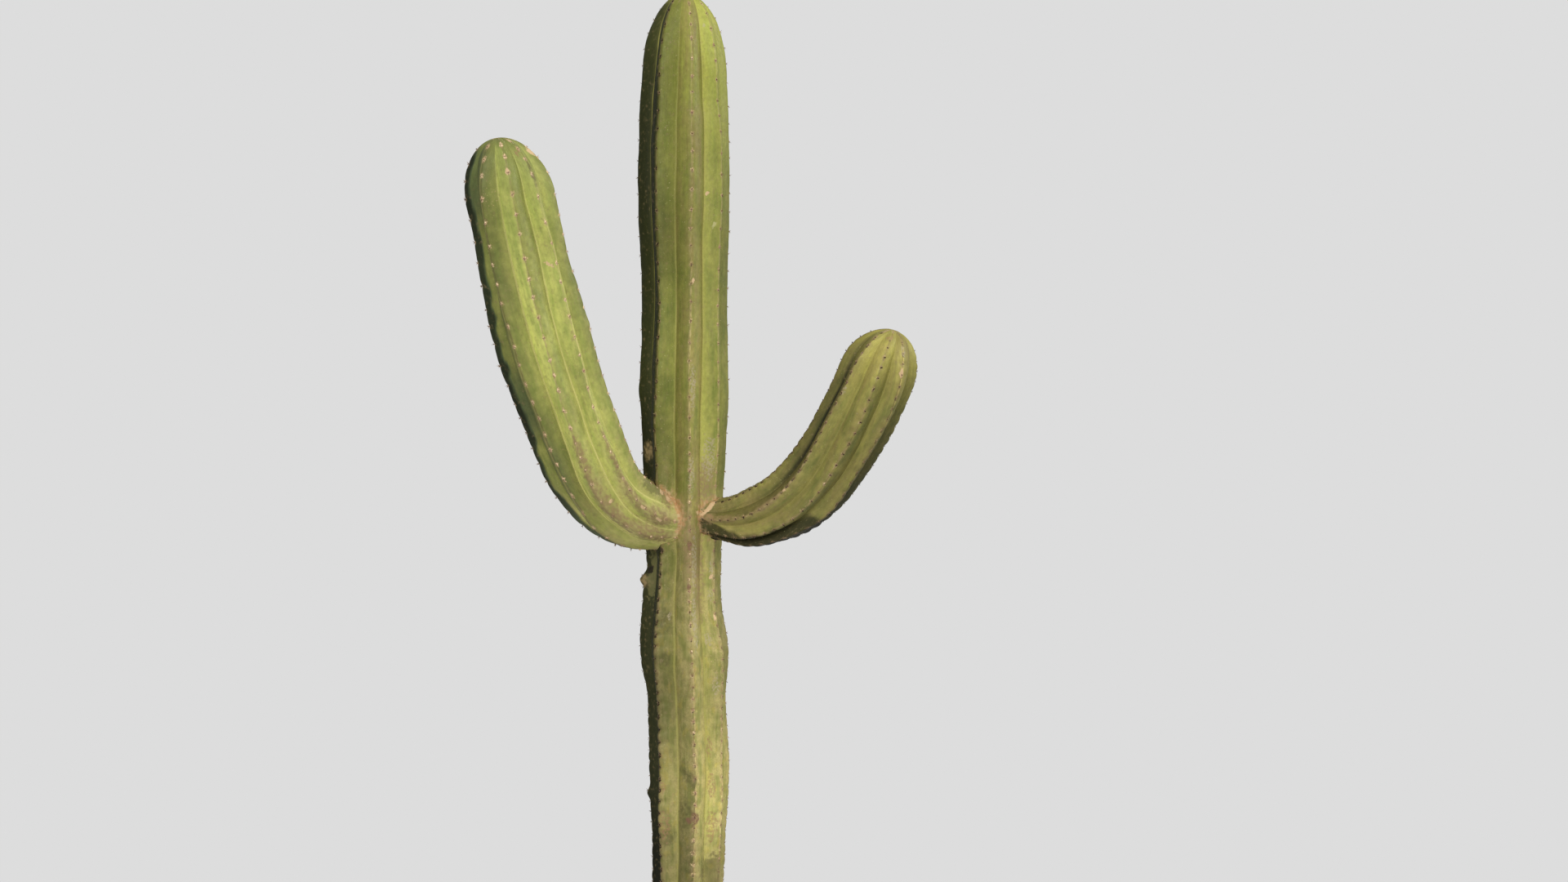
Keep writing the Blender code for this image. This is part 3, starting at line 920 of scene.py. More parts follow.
def flank_looks(stem, turn, along, face_middle):
    """Painted light and shade, warmth and valley light at each corner, the same on both sides right at the crest.
    """
    looks = np.array(FLANK_LOOKS[stem.name])
    rib = np.round(face_middle).astype(int) % stem.ribs
    after = (face_middle > np.round(face_middle)).astype(int)
    own = looks[rib, after]
    both = looks[rib].mean(axis=1)
    drop = rib_drop(turn)
    share = ease(drop / 0.12)[:, None]
    crest_shading, valley_shading, warmth, valley_light = (both + (own - both) * share).T
    step = np.where((stem.name == "left_arm") & (rib == 8), EDGE_SHARPNESS, 1.0)
    wobble = 0.16 * noise(turn, along / 0.022, 3.0, wrap=stem.ribs)
    valley_share = ease((drop - 0.5 + wobble * (step > 1.0)) * step + 0.5)
    light_and_shade = crest_shading + (valley_shading - crest_shading) * valley_share
    for (one_rib, side), stations in PAINTED_LIGHT_ALONG_FLANKS[stem.name].items():
        here = (rib == one_rib) & (after == side)
        light_and_shade = np.where(here, light_and_shade * smooth_value(stations, along), light_and_shade)
    valley_light = np.where(valley_light < 0.0, valley_light * smooth_value(SHADES_ALONG[stem.name], along), valley_light)
    below_tip = ease((stem.length - along) / TIP_BLEND)
    light_and_shade = TIP_LIGHT_AND_SHADE + (light_and_shade - TIP_LIGHT_AND_SHADE) * below_tip
    return light_and_shade * smooth_value(PAINTED_LIGHT_ALONG[stem.name], along), warmth, valley_light


# The flanks' painted light and shade comes together in one lightness at a tip, over this length in metres
TIP_LIGHT_AND_SHADE = 0.80
TIP_BLEND = 0.030
# How sharply the left arm's outer flank turns from its dark edge of painted shade to grey
EDGE_SHARPNESS = 5.0


def store_vertex_facts(mesh, stem, stems, turn, along, points):
    store(mesh, "rib_drop", rib_drop(turn))
    store(mesh, "areole_step", stem.areole_step(along))
    store(mesh, "age", smooth_value(AGES[stem.name], along))
    offset = points - stem.middle(along)
    facing_down = -offset[:, 2] / np.maximum(np.linalg.norm(offset, axis=1), 0.001)
    edge = smooth_value(UNDERSIDE_EDGE, along) + 0.07 * noise(turn, along / 0.014, 7.0, wrap=stem.ribs)
    store(mesh, "underside", UNDERSIDE_SHADE[stem.name] * ease((facing_down - edge) / 0.14))
    store(mesh, "callus", callus_strength(stem, stems, turn, points))
    cork = ease(1.0 - along / 0.30) if stem.name == "trunk" else np.zeros_like(along)
    store(mesh, "cork", cork)
    for kind in MARK_KINDS:
        store(mesh, kind, mark_strength(stem, kind, turn, along))


# How old the skin is along each stem: 0 is fresh growth, 1 is old and tan
AGES = {
    "trunk": ((0.0, 1.0), (0.45, 1.0), (0.95, 0.85), (1.12, 0.66), (1.27, 0.38), (1.50, 0.22), (2.127, 0.0)),
    "left_arm": ((0.0, 0.80), (0.12, 0.62), (0.28, 0.38), (0.60, 0.22), (0.823, 0.0)),
    "right_arm": ((0.0, 0.70), (0.12, 0.52), (0.30, 0.36), (0.46, 0.16), (0.584, 0.0)),
}
CALLUS_REACH = 0.016
# How strong the callus is: by height on the trunk at each arm, and by turn round each arm
CALLUS_BY_HEIGHT = (
    ((1.09, 0.0), (1.12, 0.25), (1.15, 0.7), (1.18, 0.8), (1.205, 0.6), (1.23, 0.2), (1.25, 0.0)),
    ((1.09, 0.0), (1.13, 0.4), (1.16, 0.7), (1.21, 0.5), (1.24, 0.0)),
)
CALLUS_BY_TURN = {
    "left_arm": ((0.0, 0.0), (0.8, 0.2), (1.5, 1.2), (2.4, 1.6), (3.2, 1.3), (5.0, 0.6), (7.0, 0.2), (9.0, 0.0)),
    "right_arm": ((0.0, 0.0), (2.0, 0.3), (4.0, 0.6), (5.5, 0.9), (6.4, 0.7), (7.0, 0.1), (8.0, 0.0)),
}


def callus_strength(stem, stems, turn, points):
    """1 at a joint's edge, falling to 0 away from it, where the joint has callus."""
    if stem is not stems[0]:
        near = 1.0 - gap_to_trunk(stems[0], points) / CALLUS_REACH
        return np.clip(near, 0.0, 1.3) * smooth_value(CALLUS_BY_TURN[stem.name], turn % stem.ribs)
    strength = np.zeros(len(points))
    for arm, by_height in zip(stems[1:], CALLUS_BY_HEIGHT):
        near = np.clip(1.0 - gap_to_arm(arm, points) / CALLUS_REACH, 0.0, 1.3)
        strength = np.maximum(strength, near * smooth_value(by_height, points[:, 2]))
    return strength


# Marks on the skin: (kind, turn, along, how far they reach across and along, how they lean)
# The soft dark olive marks are painted shadows, the dark marks in hollows and the large dark patch low on the
# trunk are painted shade, and the olive-grey strip on the trunk's dark band is painted light
MARK_KINDS = ("wash", "painted_shadow", "olive_grey", "scar", "scuff", "rosy", "lower_shade", "pale", "cream", "hollow_shade", "specks")
MARKS = {
    "trunk": (
        ("scar", 5.98, 1.118, 0.0065, 0.014, 0.0),
        ("scar", 5.98, 1.041, 0.0050, 0.009, 0.0),
        ("scar", 5.98, 0.623, 0.015, 0.015, 0.3),
        ("scuff", 5.36, 0.988, 0.005, 0.018, 0.1),
        # A strip of painted light on the painted dark band
        ("olive_grey", 4.42, 1.065, 0.020, 0.075, 0.0),
        ("wash", 4.12, 1.048, 0.016, 0.016, 0.0),
        # Painted shade in the hollow above the knob, and under the left arm
        ("hollow_shade", 4.20, 1.070, 0.013, 0.011, 0.0),
        ("hollow_shade", 4.98, 1.108, 0.006, 0.007, 0.0),
        ("wash", 4.28, 1.286, 0.014, 0.026, 0.0),
        ("wash", 5.66, 1.170, 0.016, 0.050, 0.0),
        ("wash", 6.00, 1.110, 0.016, 0.090, 0.0),
        ("wash", 6.60, 1.225, 0.030, 0.060, 0.0),
        ("wash", 6.40, 1.060, 0.020, 0.120, 0.0),
        ("scuff", 6.16, 1.084, 0.009, 0.075, 0.0),
        ("scuff", 6.16, 0.980, 0.009, 0.080, 0.0),
        ("scuff", 6.90, 1.076, 0.007, 0.036, 0.0),
        ("cream", 6.90, 1.059, 0.0045, 0.008, 0.0),
        ("scuff", 6.86, 1.025, 0.008, 0.018, 0.0),
        ("cream", 6.94, 0.986, 0.0045, 0.008, 0.0),
        ("scuff", 6.66, 0.944, 0.009, 0.022, 0.0),
        ("scuff", 6.80, 0.860, 0.008, 0.030, 0.0),
        ("rosy", 6.62, 0.748, 0.008, 0.030, 0.0),
        ("rosy", 6.66, 0.682, 0.011, 0.036, 0.0),
        ("rosy", 6.70, 0.605, 0.013, 0.044, 0.0),
        ("rosy", 5.14, 0.605, 0.012, 0.040, 0.0),
        ("rosy", 5.08, 0.678, 0.007, 0.018, 0.0),
        ("scuff", 6.10, 1.400, 0.009, 0.070, 0.0),
        ("scuff", 6.06, 1.240, 0.008, 0.060, 0.0),
        ("scuff", 6.74, 1.275, 0.016, 0.060, 0.0),
        ("specks", 6.80, 0.930, 0.020, 0.130, 0.0),
        ("cream", 6.58, 1.754, 0.005, 0.006, 0.0),
        ("pale", 6.82, 1.697, 0.005, 0.009, 0.0),
        ("pale", 6.72, 2.060, 0.005, 0.006, 0.0),
        ("cream", 6.06, 1.594, 0.004, 0.007, 0.0),
        # Painted shadows in the folds and on the lower flanks
        ("painted_shadow", 5.82, 0.698, 0.014, 0.028, -0.6),
        ("painted_shadow", 5.74, 0.626, 0.016, 0.046, 0.0),
        ("painted_shadow", 5.20, 0.590, 0.018, 0.028, 0.0),
        ("painted_shadow", 5.20, 0.910, 0.018, 0.020, 0.0),
        ("painted_shadow", 5.24, 0.980, 0.018, 0.030, 0.0),
        # Painted shade low on the trunk
        ("lower_shade", 6.85, 0.520, 0.040, 0.050, 0.0),
        ("wash", 6.70, 1.166, 0.026, 0.034, 0.0),
        ("rosy", 6.72, 1.160, 0.020, 0.026, 0.0),
        ("cream", 6.30, 1.175, 0.007, 0.006, 0.0),
        # Painted shade in the hollow under the right arm
        ("hollow_shade", 6.96, 1.144, 0.012, 0.014, 0.0),
    ),
    "left_arm": (
        ("cream", 0.98, 0.766, 0.006, 0.008, 0.0),
        ("rosy", 1.80, 0.795, 0.010, 0.012, 0.0),
        ("cream", 2.86, 0.794, 0.009, 0.011, 0.0),
        ("cream", 1.72, 0.599, 0.006, 0.009, -1.0),
        ("specks", 0.22, 0.729, 0.018, 0.050, 0.0),
        # Painted shadow near the tip
        ("painted_shadow", 2.02, 0.758, 0.007, 0.036, 0.0),
        ("cream", 1.96, 0.123, 0.004, 0.008, 0.0),
        ("cream", 1.88, 0.079, 0.005, 0.011, 0.0),
        ("cream", 1.20, 0.173, 0.0045, 0.0045, 0.0),
        ("specks", 2.56, 0.086, 0.016, 0.020, 0.0),
        ("wash", 1.00, 0.250, 0.012, 0.080, 0.0),
        ("wash", 1.02, 0.160, 0.020, 0.080, 0.0),
        ("wash", 1.10, 0.080, 0.030, 0.060, 0.0),
        ("wash", 2.00, 0.230, 0.010, 0.080, 0.0),
        ("wash", 1.96, 0.140, 0.016, 0.070, 0.0),
        ("wash", 1.92, 0.080, 0.024, 0.045, 0.0),
        ("wash", 3.00, 0.060, 0.040, 0.022, 0.0),
        ("olive_grey", 2.90, 0.110, 0.016, 0.050, 0.0),
        ("cream", 2.94, 0.078, 0.008, 0.010, 0.0),
        ("cream", 2.80, 0.058, 0.008, 0.010, 0.0),
    ),
    "right_arm": (
        ("rosy", 5.94, 0.573, 0.007, 0.009, 0.0),
        ("cream", 6.98, 0.527, 0.006, 0.012, 0.0),
        ("scuff", 6.98, 0.560, 0.007, 0.012, 0.0),
        ("scuff", 5.04, 0.461, 0.008, 0.014, 0.0),
        ("cream", 5.02, 0.243, 0.0045, 0.006, 0.0),
        ("wash", 5.00, 0.062, 0.018, 0.018, 0.0),
        ("rosy", 4.95, 0.062, 0.014, 0.014, 0.0),
        ("cream", 4.37, 0.053, 0.009, 0.018, -0.94),
        ("wash", 5.00, 0.090, 0.012, 0.060, 0.0),
        ("wash", 5.02, 0.200, 0.008, 0.050, 0.0),
    ),
}


def mark_strength(stem, kind, turn, along):
    """1 in the middle of a mark, falling evenly to 0 at its edge."""
    strength = np.zeros_like(along)
    for mark_kind, at_turn, at_along, wide, tall, lean in MARKS[stem.name]:
        if mark_kind != kind:
            continue
        across, up = surface_offset(stem, (at_turn, at_along), turn, along)
        reach = np.hypot((across - lean * up) / wide, up / tall)
        strength = np.maximum(strength, 1.0 - reach)
    return strength


def paint(red, green, blue):
    """A colour given as it looks on a screen, 0 to 255, as the renderer wants it."""
    shares = [value / 255.0 for value in (red, green, blue)]
    lit = [s / 12.92 if s <= 0.04045 else ((s + 0.055) / 1.055) ** 2.4 for s in shares]
    return (*lit, 1.0)


class Nodes:
    """Short calls that build one material's node tree."""

    def __init__(self, name):
        self.material = bpy.data.materials.new(name)
        self.material.use_nodes = True
        self.tree = self.material.node_tree
        self.shader = self.tree.nodes["Principled BSDF"]

    def plug(self, socket, value):
        if isinstance(value, bpy.types.NodeSocket):
            self.tree.links.new(value, socket)
        else:
            socket.default_value = value

    def add(self, kind):
        return self.tree.nodes.new("ShaderNode" + kind)

    def fact(self, name, output="Fac"):
        """What the mesh stores under this name."""
        node = self.add("Attribute")
        node.attribute_name = name
        return node.outputs[output]

    def math(self, operation, first, second=0.0):
        node = self.add("Math")
        node.operation = operation
        self.plug(node.inputs[0], first)
        self.plug(node.inputs[1], second)
        return node.outputs[0]

    def times(self, first, second):
        return self.math("MULTIPLY", first, second)

    def plus(self, first, second):
        return self.math("ADD", first, second)

    def smooth(self, value, low, high, to_low=0.0, to_high=1.0):
        """A smooth step as value goes from low to high."""
        node = self.add("MapRange")
        node.interpolation_type = "SMOOTHSTEP"
        for name, number in (("Value", value), ("From Min", low), ("From Max", high)):
            self.plug(node.inputs[name], number)
        node.inputs["To Min"].default_value = to_low
        node.inputs["To Max"].default_value = to_high
        return node.outputs["Result"]

    def mix(self, share, low, high, blend="MIX"):
        """Blend two colours."""
        node = self.add("Mix")
        node.data_type = "RGBA"
        node.blend_type = blend
        self.plug(node.inputs["Factor"], share)
        self.plug(node.inputs[6], low)
        self.plug(node.inputs[7], high)
        return node.outputs[2]

    def stretched(self, vector, across, along, shift=0.0):
        """The skin's place in units of one feature, which is across by along metres."""
        scale = self.add("VectorMath")
        scale.operation = "MULTIPLY_ADD"
        self.plug(scale.inputs[0], vector)
        scale.inputs[1].default_value = (1.0 / across, 1.0 / along, 3.7)
        scale.inputs[2].default_value = (shift, shift, shift)
        return scale.outputs[0]

    def noise(self, vector, across, along, shift=0.0, detail=2.0):
        node = self.add("TexNoise")
        self.plug(node.inputs["Vector"], self.stretched(vector, across, along, shift))
        node.inputs["Scale"].default_value = 1.0
        node.inputs["Detail"].default_value = detail
        return node.outputs["Fac"]

    def cells(self, vector, across, along, shift=0.0, feature="F1"):
        node = self.add("TexVoronoi")
        node.feature = feature
        self.plug(node.inputs["Vector"], self.stretched(vector, across, along, shift))
        node.inputs["Scale"].default_value = 1.0
        return node


# Colours of each stem's skin. The yellow by the valley and the pale valley line are painted highlights; the shade
# and the dim green are colours of painted shade
SKIN_LOOKS = {
    "trunk": {
        "deep_green": paint(106, 116, 50),
        "light_green": paint(138, 140, 66),
        "fresh": paint(154, 160, 68),
        "olive": paint(138, 127, 72),
        "old_skin": paint(170, 158, 98),
        "old_green": paint(132, 132, 70),
        "ochre": paint(168, 154, 76),
        "shade_green": paint(112, 120, 60),
        "shade_tones": (0.45, 0.20),
        "rust": paint(150, 104, 76),
        "valley_light": paint(164, 163, 78),
        "shade": paint(92, 86, 44),
        "valley_highlight_line": paint(176, 170, 92),
        "ridge_line": paint(176, 170, 92),
        "crest": paint(154, 130, 88),
        "crest_pale": paint(190, 172, 118),
        "crest_line": paint(140, 128, 74),
        "halo": paint(174, 148, 104),
        "wool_dot": paint(212, 188, 138),
        "tick": paint(62, 50, 30),
        "highlight_line_strength": 0.85,
    },
    "left_arm": {
        "deep_green": paint(140, 152, 74),
        "light_green": paint(180, 183, 96),
        "fresh": paint(150, 160, 82),
        "olive": paint(170, 160, 98),
        "old_skin": paint(192, 180, 118),
        "old_green": paint(174, 176, 94),
        "ochre": paint(178, 162, 98),
        "shade_green": paint(128, 150, 104),
        "shade_tones": (0.62, 0.30),
        "rust": paint(160, 134, 98),
        "valley_light": paint(190, 192, 108),
        "shade": paint(96, 104, 54),
        "valley_highlight_line": paint(212, 206, 128),
        "ridge_line": paint(196, 184, 116),
        "crest": paint(158, 142, 98),
        "crest_pale": paint(186, 162, 124),
        "crest_line": paint(134, 124, 72),
        "halo": paint(206, 170, 128),
        "wool_dot": paint(250, 220, 176),
        "tick": paint(120, 92, 64),
        "highlight_line_strength": 0.80,
    },
    "right_arm": {
        "deep_green": paint(98, 107, 52),
        "light_green": paint(152, 147, 75),
        "fresh": paint(184, 176, 86),
        "olive": paint(140, 126, 75),
        "old_skin": paint(142, 128, 80),
        "old_green": paint(120, 118, 62),
        "ochre": paint(142, 124, 66),
        "shade_green": paint(100, 104, 60),
        "shade_tones": (0.45, 0.20),
        "rust": paint(112, 84, 58),
        "valley_light": paint(160, 154, 76),
        "shade": paint(46, 44, 26),
        "valley_highlight_line": paint(160, 154, 88),
        "ridge_line": paint(160, 154, 88),
        "crest": paint(140, 118, 78),
        "crest_pale": paint(180, 158, 112),
        "crest_line": paint(126, 112, 64),
        "halo": paint(164, 136, 98),
        "wool_dot": paint(206, 180, 136),
        "tick": paint(58, 42, 30),
        "highlight_line_strength": 0.45,
    },
}
DEEP_SHADE = paint(34, 36, 22)
CORK = paint(150, 124, 92)
CORK_DARK = paint(92, 76, 56)
CORK_PALE = paint(188, 168, 138)
CALLUS = paint(188, 150, 106)
CALLUS_PALE = paint(214, 182, 138)
CALLUS_ORANGE = paint(192, 134, 86)
WASH = paint(156, 134, 92)
# Painted shadow
PAINTED_SHADOW = paint(96, 92, 52)
# Olive grey; on the trunk's dark band a strip of it is painted light
OLIVE_GREY = paint(122, 118, 72)
SCAR = paint(128, 94, 72)
SCUFF = paint(186, 172, 140)
# Dark specks, and painted shade in a large patch low on the trunk
DARK_SPECKS_AND_SHADE = paint(84, 74, 46)
PALE = paint(196, 190, 132)
ROSY = paint(164, 124, 92)
CREAM = paint(226, 192, 148)
# Painted shade in hollows
HOLLOW_SHADE = paint(44, 38, 26)


def areole_facts(nodes, place):
    """The nearest areole: metres across and up to it, share of the way to the next, two random draws."""
    turn = nodes.fact("areole_turn")
    shifted = nodes.plus(turn, 0.5)
    phase = nodes.math("SUBTRACT", nodes.math("FRACT", shifted), 0.5)
    up = nodes.times(phase, nodes.fact("areole_step"))
    split = nodes.add("SeparateXYZ")
    nodes.plug(split.inputs[0], place)
    which = nodes.add("CombineXYZ")
    nodes.plug(which.inputs["X"], nodes.math("FLOOR", shifted))
    nodes.plug(which.inputs["Y"], nodes.math("ROUND", split.outputs["Z"]))
    drawn = nodes.add("TexWhiteNoise")
    drawn.noise_dimensions = "2D"
    nodes.plug(drawn.inputs["Vector"], which.outputs[0])
    colors = nodes.add("SeparateColor")
    nodes.plug(colors.inputs[0], drawn.outputs["Color"])
    return split.outputs["X"], up, nodes.math("ABSOLUTE", phase), colors.outputs[0], colors.outputs[1]


def reach_of(nodes, across, up):
    """Distance over the skin."""
    squares = nodes.plus(nodes.times(across, across), nodes.times(up, up))
    return nodes.math("SQRT", squares)


def skin_material(name, look):
    """Waxy ribbed skin, from fresh green to old and corky, with its marks."""
    nodes = Nodes(name)
    place = nodes.fact("skin_place", "Vector")
    drop = nodes.fact("rib_drop")
    age = nodes.fact("age")
    across, up, between, first_draw, second_draw = areole_facts(nodes, place)
    side = nodes.math("ABSOLUTE", across)

    # Two greens in blotches, fine mottling and streaks that run with the ribs
    blotch = nodes.smooth(nodes.noise(place, 0.016, 0.045, 3.0, 4.0), 0.34, 0.66)
    mottle = nodes.smooth(nodes.noise(place, 0.0035, 0.006, 9.0, 3.0), 0.30, 0.70)
    streak = nodes.smooth(nodes.noise(place, 0.0030, 0.070, 17.0, 2.0), 0.35, 0.70)
    green = nodes.mix(blotch, look["deep_green"], look["light_green"])
    green = nodes.mix(nodes.smooth(age, 0.18, 0.0), green, look["fresh"])
    green = nodes.mix(nodes.times(mottle, 0.14), green, look["deep_green"])
    green = nodes.mix(nodes.times(streak, 0.22), green, look["olive"])
    band = nodes.noise(place, 0.0055, 0.110, 19.0, 2.0)
    green = nodes.mix(nodes.smooth(band, 0.50, 0.75, 0.0, 0.40), green, look["deep_green"])
    green = nodes.mix(nodes.smooth(band, 0.50, 0.28, 0.0, 0.28), green, look["light_green"])
    warm = nodes.smooth(nodes.noise(place, 0.012, 0.060, 29.0, 3.0), 0.30, 0.70, 0.3, 1.7)
    green = nodes.mix(nodes.times(warm, nodes.fact("flank_warmth")), green, look["olive"])

    # Old skin turns tan, first in patches
    tanned = nodes.noise(place, 0.014, 0.040, 23.0, 4.0)
    old = nodes.mix(nodes.smooth(tanned, 0.35, 0.62), look["old_green"], look["old_skin"])
    fleck = nodes.smooth(nodes.noise(place, 0.0022, 0.0036, 53.0, 4.0), 0.42, 0.60)
    old = nodes.mix(nodes.times(fleck, 0.40), old, look["old_green"])
    ochre = nodes.smooth(nodes.noise(place, 0.010, 0.022, 57.0, 3.0), 0.52, 0.68)
    old = nodes.mix(nodes.times(ochre, 0.60), old, look["ochre"])
    old = nodes.mix(nodes.times(streak, 0.25), old, look["crest_pale"])
    aged = nodes.smooth(nodes.plus(age, nodes.times(nodes.plus(tanned, -0.5), 0.8)), 0.25, 0.95)
    color = nodes.mix(aged, green, old)

    # Painted yellow highlight towards the valley, or a painted shaded edge there
    wave = nodes.smooth(nodes.noise(place, 0.030, 0.040, 31.0), 0.25, 0.75, 0.45, 1.0)
    valley_light = nodes.times(nodes.smooth(drop, 0.30, 1.0), nodes.math("MAXIMUM", nodes.fact("flank_valley_light"), 0.0))
    young = nodes.smooth(age, 1.1, 0.3, 0.40, 1.0)
    color = nodes.mix(nodes.times(nodes.times(valley_light, wave), young), color, look["valley_light"])
    edge_shade = nodes.math("MAXIMUM", nodes.times(nodes.fact("flank_valley_light"), -1.0), 0.0)
    color = nodes.mix(nodes.times(nodes.smooth(drop, 0.62, 0.88), edge_shade), color, look["shade"])

    # Tan crest, blotchy, and broader where the stem is old, with pale edges to its teeth
    width = nodes.times(nodes.plus(nodes.times(age, 1.0), 0.25), 0.24)
    near_crest = nodes.smooth(drop, width, 0.02)
    patchy = nodes.smooth(nodes.noise(place, 0.0040, 0.016, 43.0, 4.0), 0.40, 0.62)
    crest = nodes.times(nodes.times(near_crest, patchy), nodes.plus(nodes.times(age, 0.5), 0.25))
    crest_shade = nodes.smooth(nodes.noise(place, 0.0040, 0.009, 47.0, 3.0), 0.45, 0.62)
    color = nodes.mix(crest, color, nodes.mix(crest_shade, look["crest"], look["crest_pale"]))
    rust = nodes.smooth(nodes.noise(place, 0.0034, 0.0080, 49.0, 3.0), 0.56, 0.68)
    rust = nodes.times(nodes.times(rust, near_crest), nodes.times(age, 0.7))
    color = nodes.mix(rust, color, look["rust"])
    crest_line = nodes.smooth(side, 0.0020, 0.0006)
    color = nodes.mix(nodes.times(crest_line, 0.35), color, look["crest_line"])
    tooth = nodes.times(nodes.smooth(side, 0.0032, 0.0010), nodes.smooth(between, 0.10, 0.28))
    tooth = nodes.times(nodes.times(tooth, patchy), nodes.fact("tooth_edge"))
    tooth = nodes.times(tooth, nodes.smooth(age, 0.05, 0.35, 0.3, 1.0))
    color = nodes.mix(nodes.times(tooth, 0.8), color, look["crest_pale"])
    # Painted shade: flanks painted dark turn a dim green, then every colour is multiplied by the flank's painted
    # light and shade, and by a fine grain
    shade_share = nodes.smooth(nodes.fact("flank_light_and_shade"), *look["shade_tones"])
    color = nodes.mix(nodes.times(shade_share, 0.8), color, look["shade_green"])
    color = nodes.mix(1.0, color, nodes.fact("flank_light_and_shade", "Color"), "MULTIPLY")
    grain = nodes.smooth(nodes.noise(place, 0.0060, 0.0100, 67.0, 4.0), 0.28, 0.72, 0.90, 1.10)
    value = nodes.add("CombineXYZ")
    for axis in "XYZ":
        nodes.plug(value.inputs[axis], grain)
    color = nodes.mix(1.0, color, value.outputs[0], "MULTIPLY")

    # Pale lines of painted highlight down the valleys, and pale lines beside some crests
    line = nodes.plus(nodes.times(nodes.smooth(drop, 0.72, 0.96), 0.20), nodes.smooth(drop, 0.90, 0.955))
    line = nodes.times(nodes.times(line, nodes.fact("valley_highlight_line")), wave)
    line = nodes.times(line, nodes.smooth(nodes.fact("flank_light_and_shade"), 0.1, 0.8, 0.25, 1.0))
    color = nodes.mix(nodes.times(line, look["highlight_line_strength"]), color, look["valley_highlight_line"])
    ridge = nodes.smooth(nodes.math("ABSOLUTE", nodes.fact("ridge_place")), 0.0024, 0.0006)
    ridge = nodes.times(nodes.times(ridge, nodes.fact("ridge")), wave)
    color = nodes.mix(nodes.times(ridge, 0.7), color, look["ridge_line"])
    # Painted shade on the underside
    color = nodes.mix(nodes.fact("underside"), color, DEEP_SHADE)

    # Specks: scattered small dots, pale and dark
    spots = nodes.smooth(nodes.noise(place, 0.0026, 0.0030, 61.0, 1.0), 0.70, 0.76)
    lit = nodes.smooth(nodes.fact("flank_light_and_shade"), 0.3, 0.9)
    color = nodes.mix(nodes.times(nodes.times(spots, lit), 0.45), color, PALE)
    dots = nodes.smooth(nodes.noise(place, 0.0022, 0.0026, 83.0, 1.0), 0.72, 0.78)
    color = nodes.mix(nodes.times(nodes.times(dots, lit), 0.40), color, DARK_SPECKS_AND_SHADE)

    # Round each areole a ragged tan star, pale wool in its middle and a dark tick under it, partly
    # the areole's own dark spot and partly painted shade in its notch
    ragged = nodes.times(nodes.plus(nodes.noise(place, 0.0022, 0.0028, 5.0, 3.0), -0.5), 0.0110)
    reach = nodes.plus(reach_of(nodes, across, nodes.times(up, 0.75)), ragged)
    star = nodes.times(nodes.smooth(reach, 0.0047, 0.0020), nodes.plus(nodes.times(first_draw, 0.45), 0.40))
    pale = nodes.fact("areole_pale")
    color = nodes.mix(nodes.times(star, pale), color, look["halo"])
    wool = nodes.smooth(reach, 0.0030, 0.0014)
    wool = nodes.times(wool, nodes.smooth(second_draw, 0.15, 0.65, 0.25, 1.0))
    color = nodes.mix(nodes.times(nodes.times(wool, pale), 0.9), color, look["wool_dot"])
    low = nodes.plus(up, 0.0036)
    dark = nodes.fact("areole_dark")
    size = nodes.smooth(dark, 0.3, 1.0, 0.0018, 0.0030)
    tick_reach = nodes.plus(reach_of(nodes, across, low), nodes.times(ragged, 0.5))
    tick = nodes.smooth(nodes.math("DIVIDE", tick_reach, size), 1.0, 0.5)
    tick = nodes.times(tick, nodes.smooth(first_draw, 0.1, 0.9, 0.15, 1.0))
    tick = nodes.times(tick, nodes.smooth(age, 0.2, 0.8, 0.9, 1.6))
    color = nodes.mix(nodes.times(tick, dark), color, look["tick"])

    # Marks, some of them painted shade and painted light, cork and the scar tissue round the joints
    edge = nodes.smooth(nodes.noise(place, 0.006, 0.008, 71.0, 4.0), 0.25, 0.75, -0.35, 0.35)
    broken = nodes.smooth(nodes.noise(place, 0.0030, 0.0045, 73.0, 3.0), 0.42, 0.58)
    dotted = nodes.smooth(nodes.noise(place, 0.0026, 0.0030, 79.0, 1.0), 0.64, 0.72)
    patches = nodes.smooth(nodes.noise(place, 0.0045, 0.0070, 89.0, 4.0), 0.35, 0.60, 0.35, 1.0)
    # Soft tan washes, and soft dark olive patches of painted shadow
    for kind, shade, strength in (("wash", WASH, 0.90), ("painted_shadow", PAINTED_SHADOW, 0.70)):
        soft = nodes.smooth(nodes.plus(nodes.fact(kind), nodes.times(edge, 0.5)), 0.0, 0.60)
        color = nodes.mix(nodes.times(nodes.times(soft, strength), patches), color, shade)
